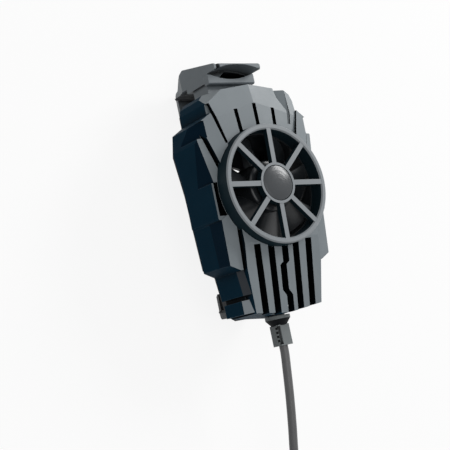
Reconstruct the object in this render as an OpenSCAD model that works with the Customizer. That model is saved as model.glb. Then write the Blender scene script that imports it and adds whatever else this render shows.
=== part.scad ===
// Clip-on cooling fan for a phone: a small axial fan in a faceted shell, held across the phone by
// a fixed lower jaw and a sprung, sliding upper jaw, and fed by its own lead.
// Millimetres. X runs across the fan, Y along the jaw slide and Z along the fan shaft. The part lies
// on the backs of its two claws, with the fan facing up.

/* [Grip] */
// Gap between the two jaw pads with the slider closed
grip_gap = 71.5; // [69:0.5:78]
// How far the upper jaw slides out
jaw_travel = 14; // [8:0.5:14]
// Deepest phone that fits between the contact pads and the claws
phone_room = 9.4; // [7:0.1:12]
// Thickness of the claws
claw_t = 2.4; // [1.8:0.1:3]
// How far the claws reach over the face of the phone
claw_reach = 5.2; // [3:0.1:7]
// Width of the jaws
jaw_w = 18.4; // [16:0.1:19]
// Thickness of the silicone on the jaws
jaw_pad_t = 0.8; // [0.5:0.1:1.2]
// Height of the silicone pads on the back
contact_pad_t = 0.8; // [0.5:0.1:1.5]

/* [Fan] */
// Inner radius of the fan duct
duct_r = 17; // [15:0.1:18]
// Wall of the fan duct
duct_wall = 1.2; // [0.8:0.1:1.8]
// Height of the fan duct
duct_h = 13.5; // [12.6:0.1:15]
// Gap between the blade tips and the duct
tip_gap = 0.6; // [0.3:0.1:1]
// Number of blades
blade_count = 7; // [5:1:9]
// Radius of the impeller hub
hub_r = 8.2; // [7.8:0.1:9]
// Turn of each blade from its root edge to its top edge, in degrees
blade_twist = 44; // [30:1:55]

/* [Guard] */
// Height of the guard ring above the duct
guard_h = 5.2; // [4.5:0.1:6.5]
// Width of the guard's rim
guard_rim = 1.8; // [1.4:0.1:2.2]
// Number of spokes
spoke_count = 8; // [5:1:10]
// Width of a spoke
spoke_w = 1.6; // [1:0.1:2]
// Radius of the plain disc at the middle of the guard
guard_hub_r = 6.5; // [5:0.1:8]

/* [Shell] */
// Wall of the shell
shell_wall = 1.6; // [1.2:0.1:2]
// Thickness of the rear floor
floor_t = 1.6; // [1.2:0.1:2.2]
// Height of the parting line above the rear face
parting_h = 4; // [3.4:0.1:5]
// Length of the crown above the guard ring
crown_len = 14.2; // [13.5:0.1:16]
// Length of the tail below the guard ring
tail_len = 20.4; // [19.5:0.1:22]
// Width of the shell beside the guard ring
side_margin = 2.1; // [1.9:0.1:3]
// Width of the panel grooves
groove_w = 1; // [0.6:0.1:1.3]
// Depth of the panel grooves
groove_depth = 2.6; // [1.5:0.1:3]
// Width of the vent slots in the tail
slot_w = 2.5; // [1.6:0.1:3]
// Radius of the vent in the rear floor
rear_vent_r = 11; // [9:0.1:11.5]

/* [Lead] */
// Diameter of the lead
lead_d = 2.8; // [2.4:0.1:3]
// Length of the strain relief outside the shell
relief_len = 9.5; // [8:0.5:14]

/* [Hidden] */
$fn = 64;

// Clearances
seat_gap = 0.15;      // between pieces that seat in each other
slide_gap = 0.3;      // beside the slider
fan_room = 0.5;       // between the fan and the slider
run_gap = 0.03;       // shaft in its bearing, radial
magnet_gap = 0.35;    // stator in the magnet, radial
cut = 0.5;            // overrun of a cut past the face that it opens
far = 60;             // height of a cut that runs out of the part

// Colours
shell_grey = "#6c7075";
dark_grey = "#2b2e32";
black = "#17181a";
silicone_grey = "#3a3d41";
steel = "#b9bdc2";
copper = "#b8733a";
board_green = "#1f5b3a";

// Levels above the back of the phone
rear_z = contact_pad_t;
floor_z = rear_z + floor_t;
tongue_z = floor_z + slide_gap;
tongue_t = 3.2;
tongue_top = tongue_z + tongue_t;
parting_z = rear_z + parting_h;
fan_z = tongue_top + 0.5;
duct_top = fan_z + duct_h;
guard_top = duct_top + guard_h;
face_z = duct_top + 1.6;
roof_z = duct_top - 5;
neck_top = tongue_top + 6.3;

// Radii about the fan shaft
frame_r = duct_r + duct_wall;
bore_r = frame_r + seat_gap;
guard_r = bore_r + 0.75;
blade_r = duct_r - tip_gap;

// Places along Y, from the fan shaft
crown_y = guard_r + crown_len;
tail_y = -guard_r - tail_len;
lower_pad_y = tail_y + 5.65;
upper_pad_y = lower_pad_y + grip_gap;
head_y = upper_pad_y - 0.75;
jaw_top_y = upper_pad_y + 7.55;

// The bed that the part lies on, and the middle of its length
bed_z = -phone_room - claw_t;
mid_y = (jaw_top_y + tail_y) / 2;

module placed() {
  translate([0, -mid_y, -bed_z]) children();
}

module both_sides() {
  children();
  mirror([1, 0, 0]) children();
}

module at_each(places) {
  for (p = places) translate(p) children();
}

// Everything above a plane through p that rises by slope.x along X and slope.y along Y
module above_plane(p, slope) {
  span = 200;
  translate(p)
    rotate([0, atan(norm(slope)), atan2(-slope.y, -slope.x)])
      translate([-span / 2, -span / 2, 0]) cube([span, span, far]);
}

// A side profile of [y, z] points, w wide across X
module across(profile, w) {
  translate([-w / 2, 0, 0]) rotate([90, 0, 90]) linear_extrude(w) polygon(profile);
}

// A straight cut from a to b in plan, w wide, from z0 up
module groove(a, b, w, z0) {
  along = b - a;
  translate([a.x, a.y, z0])
    rotate([0, 0, atan2(along.y, along.x)])
      translate([0, -w / 2, 0]) cube([norm(along), w, far]);
}

function unit(v) = v / norm(v);
function flip(p) = [-p.x, p.y];
function turned(points) = [for (i = [len(points) - 1 : -1 : 0]) points[i]];
function mirrored(half) = [for (p = turned(half)) if (p.x > 0) flip(p)];

// Points on an arc from angle a0 to angle a1 in n steps
function arc(c, r, a0, a1, n) = [
  for (i = [0 : n]) let (a = a0 + (a1 - a0) * i / n) c + r * [cos(a), sin(a)]
];

// An outline drawn in by d, walked anticlockwise
function inset(p, d) = [
  for (i = [0 : len(p) - 1])
    let (
      u = unit(p[i] - p[(i + len(p) - 1) % len(p)]),
      v = unit(p[(i + 1) % len(p)] - p[i]),
      nu = [-u.y, u.x],
      nv = [-v.y, v.x]
    )
    p[i] + d / (1 + nu * nv) * (nu + nv)
];

// The shell's outline. The right half runs from the tail's tip up to the crown's tip.
waist_x = guard_r + side_margin;
block_top = [14.7, tail_y + 14.9];
block_foot = [13.05, tail_y + 1.4];
foot_x = 15;
foot_y0 = tail_y + 1.9;
foot_y1 = tail_y + 6;
skirt_low = [15.5, tail_y + 7.4];
skirt_top = [16.2, tail_y + 14.9];
thigh_low = [waist_x - 1.1, tail_y + 16.9];
thigh_top = [waist_x - 0.5, -9.2];
waist_y0 = -8.4;
waist_y1 = 2.8;
hip = [waist_x + 1.45, 15.7];
shoulder = [waist_x + 0.25, guard_r + 2.5];
crown_foot = [17.1, guard_r + 5.1];
crown_low = [17.2, crown_y - 5.6];
crown_bend = [16.6, crown_y - 3.4];
crown_corner = [14.8, crown_y - 1.8];
half_outline = [
  [0, tail_y], block_foot, [foot_x, foot_y0], [foot_x, foot_y1], skirt_low, skirt_top, thigh_low,
  thigh_top, [waist_x, waist_y0], [waist_x, waist_y1], hip, shoulder, crown_foot, crown_low,
  crown_bend, crown_corner, [0, crown_y]
];
outline = concat(half_outline, mirrored(half_outline));

// The rear tray's outline, inside the skirt of the front cover
tray_in = shell_wall + 0.4;
half_tray = [
  [0, tail_y + 2], [block_foot.x - 0.85, tail_y + 3.3], [foot_x - tray_in, tail_y + 4.5],
  [skirt_top.x - 1.9, skirt_top.y + 1.2], thigh_low - [tray_in, -1.2], thigh_top - [tray_in, 0],
  [waist_x - tray_in, waist_y1], hip - [tray_in, 0.1], shoulder - [1.85, 1.1], crown_foot - [tray_in, 1.1],
  [crown_foot.x - tray_in, crown_y - 4.7], [crown_corner.x - 1, crown_y - 3.4], [0, crown_y - 2]
];
tray = concat(half_tray, mirrored(half_tray));

// Screws
screw_r = 0.8;
screw_head_r = 1.6;
screw_head_h = 1.1;
screw_play = 0.1;
screw_sink = screw_head_h + 0.2;
housing_screw_l = 7;
fan_screw_l = 6;
board_screw_l = 3.4;
boss_r = 2.3;
crown_screw = [12.9, crown_y - 7];
tail_screw = [10.6, tail_y + 5.6];
housing_screw_spots = [crown_screw, flip(crown_screw), tail_screw, flip(tail_screw)];
fan_ear_r = frame_r + 2;
fan_ear_angle = 47;
fan_ear_t = 2;
fan_screw_angles = [for (a = [fan_ear_angle, 180 - fan_ear_angle]) for (s = [1, -1]) a * s];
fan_screw_spots = [for (a = fan_screw_angles) fan_ear_r * [cos(a), sin(a)]];

// Slider
neck_w = jaw_w - 1.6;
arm_w = 3;
fork_y0 = -8;
fork_bar = 4;
fork_bar_x = 12.4;
rail_w = 1.5;
rail_y0 = fork_y0 + fork_bar + jaw_travel + slide_gap;
rail_y1 = crown_y - 4;
neck_slot_x = neck_w / 2 + slide_gap;

// Return springs, one on each side of the board
spring_x = 10.3;
spring_r = 1.2;
spring_wire = 0.5;
spring_turns = 11;
spring_z = tongue_z + tongue_t / 2;
spring_end = 0.3;
spring_seat = 13.4;
spring_y1 = fork_y0 - spring_end;
spring_y0 = tail_y + spring_seat;
post_r = 1.4;

// Motor
base_t = 1.5;
base_r = 8;
board_t = 0.8;
tube_r = 3;
sleeve_r = 2;
shaft_r = 0.75;
shaft_z0 = fan_z + 0.8;
sleeve_z0 = fan_z + 1.6;
hub_top = duct_top + 1.6;
hub_skin = 1.4;
hub_wall = 0.8;
hub_z0 = hub_top - 10.2;
tube_top = hub_top - 4.2;
cup_wall = 0.5;
cup_r = hub_r - hub_wall;
cup_eye_r = 2.3;
hub_edge = 0.8;
hub_boss_r = 1.9;
hub_boss_gap = 0.7;
magnet_t = 0.7;
magnet_r = cup_r - cup_wall;
stator_r = magnet_r - magnet_t - magnet_gap;
stator_z = hub_z0 + 0.6;
stator_h = 3.2;
magnet_h = stator_h + 1.6;
pole_count = 4;
pole_w = 1.8;
shoe_t = 0.9;
coil_grip = 0.75;

// Control board
pcb_w = 15;
pcb_l = 13;
pcb_t = 1;
pcb_z = floor_z + 3.6;
pcb_y = tail_y + 12.6;
pcb_screw_x = 5.6;
pcb_boss_r = 1.9;

// Wires inside the shell, and the notch that lets them out of the fan duct
wire_r = 0.4;
wire_notch = 3.2;

// Where the lead leaves the tail
lead_z = rear_z + 9.9;
relief_y = tail_y;
lead_exit_y = relief_y - relief_len;
relief_w = 4.4;
collar_r = 4;
relief_hole_r = 2.4;

// The lead on the bed, from the strain relief to its coil, in the placed frame
lead_r = lead_d / 2;
exit_point = [0, lead_exit_y - mid_y, lead_z - bed_z];
coil_lift = 0.9;
coil_z = lead_r + coil_lift;
coil_centre = [-11, -126];
coil_r_out = 23;
coil_start = [coil_centre.x + coil_r_out, coil_centre.y, coil_z];
function ease(t) = t * t * (3 - 2 * t);
lead_fall = [
  [-60, 21.6], [-66, 20.65], [-72, 19.5], [-78, 18.2], [-84, 16.75], [-90, 15],
  [-96, 12.8], [-102, 10.2], [-108, 7.4], [-114, 4.9], [-119, 3.2]
];
// The lead swings sideways to the outer turn on its way down
swing_from = -86;
swing_to = -119;
function lead_x(y) = coil_start.x * ease(min(max((swing_from - y) / (swing_from - swing_to), 0), 1));
lead_route = concat(
  [exit_point, exit_point - [0, lead_d, 0.1]],
  [for (p = lead_fall) [lead_x(p[0]), p[0], p[1]]],
  [coil_start + [0, lead_d, 0], coil_start]
);

// The coil: it spirals in on the bed, climbs a layer in half a turn and spirals out again
coil_pitch = 3.3;
layer_pitch = 3.3;
layer_turns = 4.5;
climb_turns = 0.5;
coil_turns = 2 * layer_turns + climb_turns;
loop_rings = 24;
coil_r_in = coil_r_out - coil_pitch * coil_turns / 2;
function coil_radius(t) = coil_r_in + coil_pitch * abs(t - coil_turns / 2);
function coil_climb(t) = ease(min(max((t - layer_turns) / climb_turns, 0), 1)) * layer_pitch;
function coil_point(t) = [
  coil_centre.x + coil_radius(t) * cos(360 * t),
  coil_centre.y - coil_radius(t) * sin(360 * t),
  coil_z + coil_climb(t)
];
coil_exit = coil_point(coil_turns);
plug_z = 4.2;
tail_run = 12;
tail_steps = 4;
coil_tail = [
  for (i = [1 : tail_steps])
    [coil_exit.x, coil_exit.y + tail_run * i / tail_steps,
     coil_exit.z + (plug_z - coil_exit.z) * ease(i / tail_steps)]
];
plug_face = [coil_exit.x, coil_exit.y + tail_run + lead_d, plug_z];
coil_route = concat(
  [for (i = [0 : coil_turns * loop_rings]) coil_point(i / loop_rings)],
  coil_tail,
  [plug_face]
);

// Least gap between turns of the coil, measured between route points more than half a loop apart
coil_gap = min([
  for (i = [0 : len(coil_route) - 1])
    for (j = [i + loop_rings / 2 : 1 : len(coil_route) - 1]) norm(coil_route[i] - coil_route[j])
]) - lead_d;
echo(coil_gap = coil_gap);

// Plug on the far end
plug_w = 15.4;
plug_h = 8.2;
plug_l = 19;
shell_w = 12;
shell_h = 4.5;
shell_l = 12;
shell_t = 0.4;
shell_sunk = 3;

// A tube of the given radius along a route that never runs straight up
function tangent(p, i) = unit(p[min(i + 1, len(p) - 1)] - p[max(i - 1, 0)]);
function ring(p, i, r, sides) =
  let (t = tangent(p, i), side = unit(cross(t, [0, 0, 1])), up = cross(side, t))
  [for (k = [0 : sides - 1]) p[i] + r * (cos(360 * k / sides) * side + sin(360 * k / sides) * up)];
module tube(route, r, sides) {
  n = len(route);
  points = [for (i = [0 : n - 1]) each ring(route, i, r, sides)];
  walls = [
    for (i = [0 : n - 2]) for (k = [0 : sides - 1])
      let (a = i * sides + k, b = i * sides + (k + 1) % sides)
      each [[a, a + sides, b], [b, a + sides, b + sides]]
  ];
  ends = [[for (k = [0 : sides - 1]) k], [for (k = [sides - 1 : -1 : 0]) (n - 1) * sides + k]];
  polyhedron(points, concat(walls, ends));
}

// Shell

// One raised panel of the right side: a plan outline cut off by a sloping plane
module panel(plan, p, slope) {
  difference() {
    translate([0, 0, parting_z]) linear_extrude(face_z - parting_z + 3) polygon(plan);
    above_plane(p, slope);
  }
}

groove1 = [[crown_low.x + 0.2, crown_low.y - 0.2], [13.8, 14.5]];
groove2 = [[shoulder.x + 0.2, shoulder.y - 0.7], [17.3, 6.9]];
// The upper panel overlooks the line beside it, so that line is wider and lies further in
groove1_in = [0.35, 0];
groove1_w = groove_w + 0.75;
gap_x = foot_x - 0.9;
// Where the crown's outline starts under the guard, and where the tail's face starts to fall away
crown_root = [17.1, 5];
tail_root_y = -6;
tail_fall_y = -18.1;
tail_fall_z = face_z - 0.2;
tail_slope = 0.175;

// Just inside the tail block's edge at the height y
function block_x(y) =
  let (share = (y - block_foot.y) / (block_top.y - block_foot.y))
  block_foot.x + (block_top.x - block_foot.x) * share - 0.3;

// The crown: a flat face that falls away to both sides and to its tip, with a facet at its left corner
module crown_block() {
  half = [crown_root, crown_foot, crown_low, crown_bend, crown_corner, [0, crown_y]];
  plan = concat([[0, crown_root.y]], half, mirrored(half));
  facet_a = [-11.4, crown_y - 2, face_z - 1.5];
  facet_b = [-16, crown_y - 5.2, face_z - 1.5];
  facet_steep = 2.25;
  edge = unit([facet_b.x - facet_a.x, facet_b.y - facet_a.y]);
  difference() {
    translate([0, 0, parting_z]) linear_extrude(face_z - parting_z) polygon(plan);
    both_sides() above_plane([0, 0, face_z], [-0.05, 0]);
    both_sides() above_plane([0, crown_y - 6.1, face_z], [-0.09, -0.14]);
    above_plane(facet_a, facet_steep * [-edge.y, edge.x]);
  }
}

// The panels beside the guard ring, from the crown down to the tail
module side_panels() {
  // Upper panel, between the two panel lines
  panel([[13, 8], groove2[1], [shoulder.x + 0.1, shoulder.y - 0.8], shoulder, crown_foot, groove1[1]],
        [crown_foot.x, 0, face_z - 0.4], [-0.27, 0]);
  // Hip panel
  difference() {
    panel([[16, waist_y1], [waist_x, waist_y1], hip, shoulder, groove2[1], [16, 6.9]],
          [hip.x, hip.y, face_z - 2.7], [-0.25, 0]);
    above_plane([waist_x - 1.1, waist_y1, face_z - 2], [-5, 0.95]);
  }
  // Waist
  panel([[16, thigh_top.y], thigh_top, [waist_x, waist_y0], [waist_x, waist_y1 + 0.1], [16, waist_y1 + 0.1]],
        [waist_x, 0, face_z - 1.7], [0, 0]);
  // Thigh panel
  panel([[13, skirt_top.y], skirt_top, thigh_low, thigh_top, [17, -6.8], [13, -6.8]],
        [thigh_top.x, thigh_top.y, face_z - 1.7], [-0.1, 0.085]);
  // Skirt panel, the gap under it and the foot
  panel([[block_x(skirt_low.y), skirt_low.y], skirt_low, skirt_top, [block_x(skirt_top.y), skirt_top.y + 2]],
        [block_top.x - 0.3, skirt_top.y, face_z - 3.1], [-1.22, 0.1]);
  panel([[11, foot_y1 - 1], [gap_x, foot_y1 - 1], [gap_x, skirt_low.y + 1], [11, skirt_low.y + 1]],
        [0, 0, face_z - 6.5], [0, 0]);
  panel([[block_x(foot_y0), foot_y0], [foot_x, foot_y0], [foot_x, foot_y1], [block_x(foot_y1), foot_y1]],
        [block_foot.x + 0.2, 0, face_z - 4.6], [-1.5, 0]);
}

module tail_block() {
  plan = [[block_top.x, tail_root_y], [block_top.x, block_top.y], block_foot, [0, tail_y]];
  half = turned(plan);
  difference() {
    translate([0, 0, parting_z]) linear_extrude(face_z - parting_z) polygon(concat(half, mirrored(half)));
    above_plane([0, tail_fall_y, tail_fall_z], [0, tail_slope]);
  }
}

// Facets that step the flank at the shoulder, the hip and the thigh: both ends along Y, a point of the
// facet's plane at the height of the face, and the plane's slope
flank_facets = [
  [hip.y + 1.05, shoulder.y + 0.45, [shoulder.x - 2.09, hip.y + 1.05, face_z], [-4, 0.12]],
  [waist_y1 - 0.2, hip.y + 0.65, [waist_x - 1.57, waist_y1 - 0.2, face_z], [-5.91, 1.047]],
  [thigh_low.y - 2.55, thigh_top.y + 0.35, [thigh_top.x - 0.61, thigh_top.y + 0.35, face_z], [-12.5, 0.567]]
];

// What the facets cut off the right flank, or what lies less than deep under them
module flank_cuts(deep = 0) {
  for (f = flank_facets)
    intersection() {
      above_plane(f[2] - [deep, 0, 0], f[3]);
      translate([0, f[0] - deep, parting_z]) cube([far, f[1] - f[0] + 2 * deep, far]);
    }
}

// The vent slots of the tail fan out from its tip. The middle one has a jog.
slot_y0 = -guard_r + 1.5;
slot_y1 = tail_y - cut;
slot_spread = [[4.9, 4.55], [10.2, 9.3]];
jog = [[0.5, 1], [0.5, 0.72], [-0.75, 0.68], [-0.75, 0.34], [0.6, 0.26], [0.6, 0]];
function slot_y(share) = slot_y1 + (slot_y0 - slot_y1) * share;
jog_right = [for (j = jog) [j.x + slot_w / 2, slot_y(j.y)]];
jog_left = [for (i = [len(jog) - 1 : -1 : 0]) [jog[i].x - slot_w / 2, slot_y(jog[i].y)]];

module slot_plan() {
  polygon(concat(jog_right, jog_left));
  both_sides()
    for (s = slot_spread)
      polygon([[s[0] - slot_w / 2, slot_y0], [s[1] - slot_w / 2, slot_y1],
               [s[1] + slot_w / 2, slot_y1], [s[0] + slot_w / 2, slot_y0]]);
}

crown_slots = [[0, 14.9, 6.4], [7.35, 15.5, 8], [-7.35, 15.5, 8]];
crown_slot_w = 1.4;

module shell_grooves() {
  groove_z = face_z - groove_depth;
  // Short slots of the crown: place across, start and end below its tip
  for (s = crown_slots)
    groove([s[0] * 0.93, crown_y - s[1]], [s[0], crown_y - s[2]], crown_slot_w, groove_z - 0.4);
  // Panel lines
  groove(flip(groove1[0]) + groove1_in, flip(groove1[1]) + groove1_in, groove1_w, groove_z);
  both_sides() groove(groove2[0] + [0.2, 0.6], groove2[1], groove_w, groove_z - 1.2);
  both_sides() groove([block_top.x + 0.35, -6], [block_top.x + 0.35, block_top.y], 0.7, groove_z - 1.6);
  // Fluted facet on the right of the crown
  facet = [
    [9.8, crown_y + 1], [10.6, crown_y - 4.6], [13.3, crown_y - 9.1], [12.5, crown_y - 13.6],
    [13.6, crown_y - 13.6], [14.4, crown_y - 9.8], [15, crown_y - 1.6], [15.2, crown_y + 1]
  ];
  intersection() {
    translate([0, 0, groove_z - 2]) linear_extrude(far) polygon(facet);
    above_plane([14.8, crown_y - 6.1, face_z - 1.45], [0.45, -0.13]);
  }
}

// The pocket between the guard ring and the rim of the waist
pocket_x = 16;
pocket_y = -7.6;
pocket_rim = 0.65;

module side_pocket() {
  difference() {
    translate([pocket_x, pocket_y, roof_z + 1])
      cube([waist_x - pocket_rim - pocket_x, waist_y1 - pocket_y, far]);
    translate([0, 0, roof_z]) cylinder(h = far + 2, r = guard_r + 0.1);
  }
}

module neck_slot() {
  translate([-neck_slot_x, crown_y - 6, tongue_z - slide_gap + 0.02])
    cube([2 * neck_slot_x, 8, neck_top + slide_gap - (tongue_z - slide_gap)]);
}

module front_cover() {
  color(shell_grey)
    difference() {
      union() {
        difference() {
          union() {
            crown_block();
            tail_block();
            both_sides() side_panels();
            translate([0, 0, parting_z]) cylinder(h = duct_top - parting_z, r = guard_r);
          }
          difference() {
            translate([0, 0, parting_z - cut])
              linear_extrude(roof_z - parting_z + cut) polygon(inset(outline, shell_wall));
            both_sides() flank_cuts(shell_wall);
          }
          both_sides() flank_cuts();
        }
        // Bosses for the housing screws and the fan screws
        at_each(housing_screw_spots)
          translate([0, 0, parting_z]) cylinder(h = roof_z - parting_z + cut, r = boss_r);
        at_each(fan_screw_spots)
          translate([0, 0, fan_z + fan_ear_t]) cylinder(h = roof_z - fan_z - fan_ear_t + cut, r = boss_r);
      }
      // Bore for the fan duct and the seat of the guard
      translate([0, 0, parting_z - cut]) cylinder(h = far, r = bore_r);
      translate([0, 0, duct_top]) cylinder(h = far, r = guard_r + seat_gap);
      shell_grooves();
      translate([0, 0, roof_z - 1]) linear_extrude(far) slot_plan();
      both_sides() side_pocket();
      neck_slot();
      // Cable outlet
      translate([0, tail_y + 8, lead_z]) rotate([90, 0, 0]) cylinder(h = 10, r = relief_hole_r + seat_gap);
      at_each(housing_screw_spots) translate([0, 0, parting_z - cut]) cylinder(h = 7, r = screw_r);
      at_each(fan_screw_spots) translate([0, 0, fan_z]) cylinder(h = 8, r = screw_r);
    }
}

// Rear housing with the fixed lower jaw

claw_z = -phone_room;
claw_tip_w = 11.2;
jaw_root_y = lower_pad_y - jaw_pad_t;
lower_jaw_profile = concat(
  [[jaw_root_y, floor_z], [jaw_root_y, claw_z], [lower_pad_y + claw_reach, claw_z],
   [lower_pad_y + claw_reach + 0.4, claw_z - 0.6], [lower_pad_y + claw_reach - 0.3, bed_z]],
  arc([jaw_root_y - 0.2, bed_z + 1.8], 1.8, -90, -180, 6),
  [[jaw_root_y - 2.1, -2.5], [jaw_root_y - 3.8, rear_z], [jaw_root_y - 3.8, floor_z]]
);

// A jaw seen along Y: full width down to the back of the phone, then narrowing to the claw's edge
module jaw_taper() {
  taper_z = -2.2;
  side = (jaw_w - claw_tip_w) / 2 / (taper_z - bed_z);
  low = bed_z - 1;
  high = guard_top;
  low_x = jaw_w / 2 + side * (low - taper_z);
  high_x = jaw_w / 2 + side * (high - taper_z);
  y_span = 200;
  translate([0, y_span / 2, 0])
    rotate([90, 0, 0])
      linear_extrude(y_span) polygon([[-low_x, low], [low_x, low], [high_x, high], [-high_x, high]]);
}

module rear_grille() {
  grille_bar = 1.4;
  difference() {
    cylinder(h = floor_t + 2 * cut, r = rear_vent_r);
    for (a = [0 : 60 : 120])
      rotate([0, 0, a])
        translate([-rear_vent_r - 1, -grille_bar / 2, 0]) cube([2 * rear_vent_r + 2, grille_bar, 10]);
    for (r = [rear_vent_r * 0.29, rear_vent_r * 0.62])
      difference() {
        cylinder(h = 10, r = r + grille_bar / 2);
        translate([0, 0, -cut]) cylinder(h = 11, r = r - grille_bar / 2);
      }
  }
}

// The rear tray stands inside the skirt of the front cover and carries the lower jaw
module rear_housing() {
  floor_step = 0.7;
  color(dark_grey)
    difference() {
      union() {
        difference() {
          union() {
            translate([0, 0, rear_z]) linear_extrude(floor_t) polygon(inset(tray, 0.8));
            translate([0, 0, rear_z + floor_step]) linear_extrude(parting_h - floor_step) polygon(tray);
          }
          translate([0, 0, floor_z]) linear_extrude(far) polygon(inset(tray, shell_wall));
        }
        intersection() {
          across(lower_jaw_profile, jaw_w);
          jaw_taper();
        }
        // Rails beside the slider
        both_sides()
          translate([neck_slot_x, rail_y0, floor_z - cut])
            cube([rail_w, rail_y1 - rail_y0, tongue_top - floor_z + cut]);
        // Spring posts and board bosses
        both_sides()
          translate([spring_x, spring_y0 - spring_end - post_r, floor_z - cut])
            cylinder(h = tongue_top - floor_z + cut, r = post_r);
        both_sides()
          translate([pcb_screw_x, pcb_y, floor_z - cut]) cylinder(h = pcb_z - floor_z + cut, r = pcb_boss_r);
        at_each(housing_screw_spots)
          translate([0, 0, floor_z - cut]) cylinder(h = parting_z - floor_z + cut, r = boss_r);
      }
      translate([0, 0, rear_z - cut]) rear_grille();
      neck_slot();
      both_sides() translate([pcb_screw_x, pcb_y, floor_z]) cylinder(h = far, r = screw_r);
      at_each(housing_screw_spots) {
        translate([0, 0, rear_z - cut]) cylinder(h = far, r = screw_r + screw_play);
        translate([0, 0, rear_z - cut]) cylinder(h = screw_sink + cut, r = screw_head_r + 0.2);
      }
    }
}

module contact_pads() {
  pad_x = 13.4;
  pad_w = 6.4;
  pad_l = 9;
  nip = 1.2;
  color(silicone_grey)
    both_sides()
      for (y = [guard_r - 0.5, -guard_r + 1.5])
        translate([pad_x - pad_w / 2, y - pad_l / 2, 0])
          linear_extrude(contact_pad_t) polygon([
            [nip, 0], [pad_w - nip, 0], [pad_w, nip], [pad_w, pad_l - nip],
            [pad_w - nip, pad_l], [nip, pad_l], [0, pad_l - nip], [0, nip]
          ]);
}

// A ribbed silicone facing on a jaw, growing from its wall along Y
module jaw_facing(dir) {
  ribs = 5;
  z1 = -0.4;
  z0 = claw_z + 0.5;
  step = (z1 - z0) / ribs;
  across(concat(
    [[0, z0]],
    [for (i = [0 : ribs - 1]) each [
      [dir * jaw_pad_t * 0.6, z0 + step * i], [dir * jaw_pad_t, z0 + step * (i + 0.2)],
      [dir * jaw_pad_t, z0 + step * (i + 0.8)], [dir * jaw_pad_t * 0.6, z0 + step * (i + 1)]
    ]],
    [[0, z1]]
  ), jaw_w - 2.4);
}

module lower_jaw_pad() {
  color(silicone_grey) translate([0, jaw_root_y, 0]) jaw_facing(1);
}

module upper_jaw_pad() {
  color(silicone_grey) translate([0, upper_pad_y + jaw_pad_t, 0]) jaw_facing(-1);
}

// Slider with the upper jaw

head_front_z = neck_top + 0.2;
head_wall_y = upper_pad_y + jaw_pad_t;
plate_z = head_front_z - 1.8;
plate_top = head_front_z + 0.7;
plate_y = head_y - 0.8;
lip_y = upper_pad_y + 2;
lip_z = head_front_z + 5;
lip_top = jaw_top_y - 3.7;
arch_r = 24;
arch_rise = 1.6;
hollow_r = 21;
hollow_y = head_y + 0.8;
finger_depth = 6.5;
finger_left = -5.4;
finger_slant = 1.8;
finger_right = 9.4;
finger_reach = 6;
// Roundings and steps of the head's profile: under its step, at the claw's nose and heel, and at the lip
head_step = 0.4;
claw_nose = [0.4, 0.6];
claw_toe = 0.3;
heel_out = 0.4;
heel_r = 1.8;
back_low = 2.3;
back_mid = [4.9, -4];
lip_r = 1.6;
head_profile = concat(
  [[head_y, head_step], [head_wall_y, head_step], [head_wall_y, claw_z], [upper_pad_y - claw_reach, claw_z],
   [upper_pad_y - claw_reach - claw_nose.x, claw_z - claw_nose.y],
   [upper_pad_y - claw_reach + claw_toe, bed_z]],
  arc([head_wall_y + heel_out, bed_z + heel_r], heel_r, -90, 0, 6),
  [[head_wall_y + back_low, claw_z + heel_r], [head_wall_y + back_mid.x, back_mid.y]],
  arc([jaw_top_y - lip_r, 0], lip_r, -30, 12, 4),
  [[lip_top + 0.15, lip_z - 0.6], [lip_top - 0.4, lip_z], [lip_y + 0.3, lip_z], [lip_y - 0.1, lip_z - 0.4],
   [lip_y, plate_z], [head_y, plate_z]]
);

module jaw_slider() {
  fork_top = guard_r - 2;
  notch_w = 1.5;
  color(shell_grey)
    difference() {
      union() {
        intersection() {
          across(head_profile, jaw_w);
          jaw_taper();
        }
        translate([-neck_w / 2, fork_y0, tongue_z]) cube([neck_w, head_y + cut - fork_y0, tongue_t]);
        translate([-fork_bar_x, fork_y0, tongue_z]) cube([2 * fork_bar_x, fork_bar, tongue_t]);
        translate([-neck_w / 2, 0, tongue_top - cut])
          cube([neck_w, head_y + cut, plate_z - tongue_top + cut]);
      }
      // The fan's place in front of the tongue, and the fork's opening for the air
      translate([0, 0, tongue_top]) cylinder(h = far, r = frame_r + fan_room);
      translate([-neck_w / 2 + arm_w, fork_y0 + fork_bar, tongue_z - cut])
        cube([neck_w - 2 * arm_w, fork_top - fork_y0 - fork_bar, tongue_t + 2 * cut]);
      // Relief under the neck
      translate([-neck_w / 2 + arm_w, guard_r + 3, tongue_z - cut])
        cube([neck_w - 2 * arm_w, head_y - guard_r - 6, plate_z - tongue_z - 1.2]);
      // Arch under the pull lip and the small notch at its left end
      translate([0, lip_y + arch_rise - arch_r, plate_z]) cylinder(h = far, r = arch_r, $fn = 180);
      translate([-jaw_w / 2 + 0.8, lip_y - cut, head_front_z + 2]) cube([notch_w, 6, 6]);
      // Finger pocket between the plate and the lip
      translate([0, 0, plate_z - finger_depth]) linear_extrude(finger_depth + cut) finger_outline();
    }
}

// Outline of the finger pocket: inside the lip's arch and the plate's hollow, cut off aslant at its left end
module finger_outline() {
  margin = 0.3;
  intersection() {
    translate([0, lip_y + arch_rise - arch_r]) circle(r = arch_r - margin, $fn = 180);
    translate([0, hollow_y + hollow_r]) circle(r = hollow_r - margin, $fn = 180);
    polygon([[finger_left, head_y], [finger_slant, head_y + finger_reach],
             [finger_right, head_y + finger_reach], [finger_right, head_y]]);
  }
}

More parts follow.
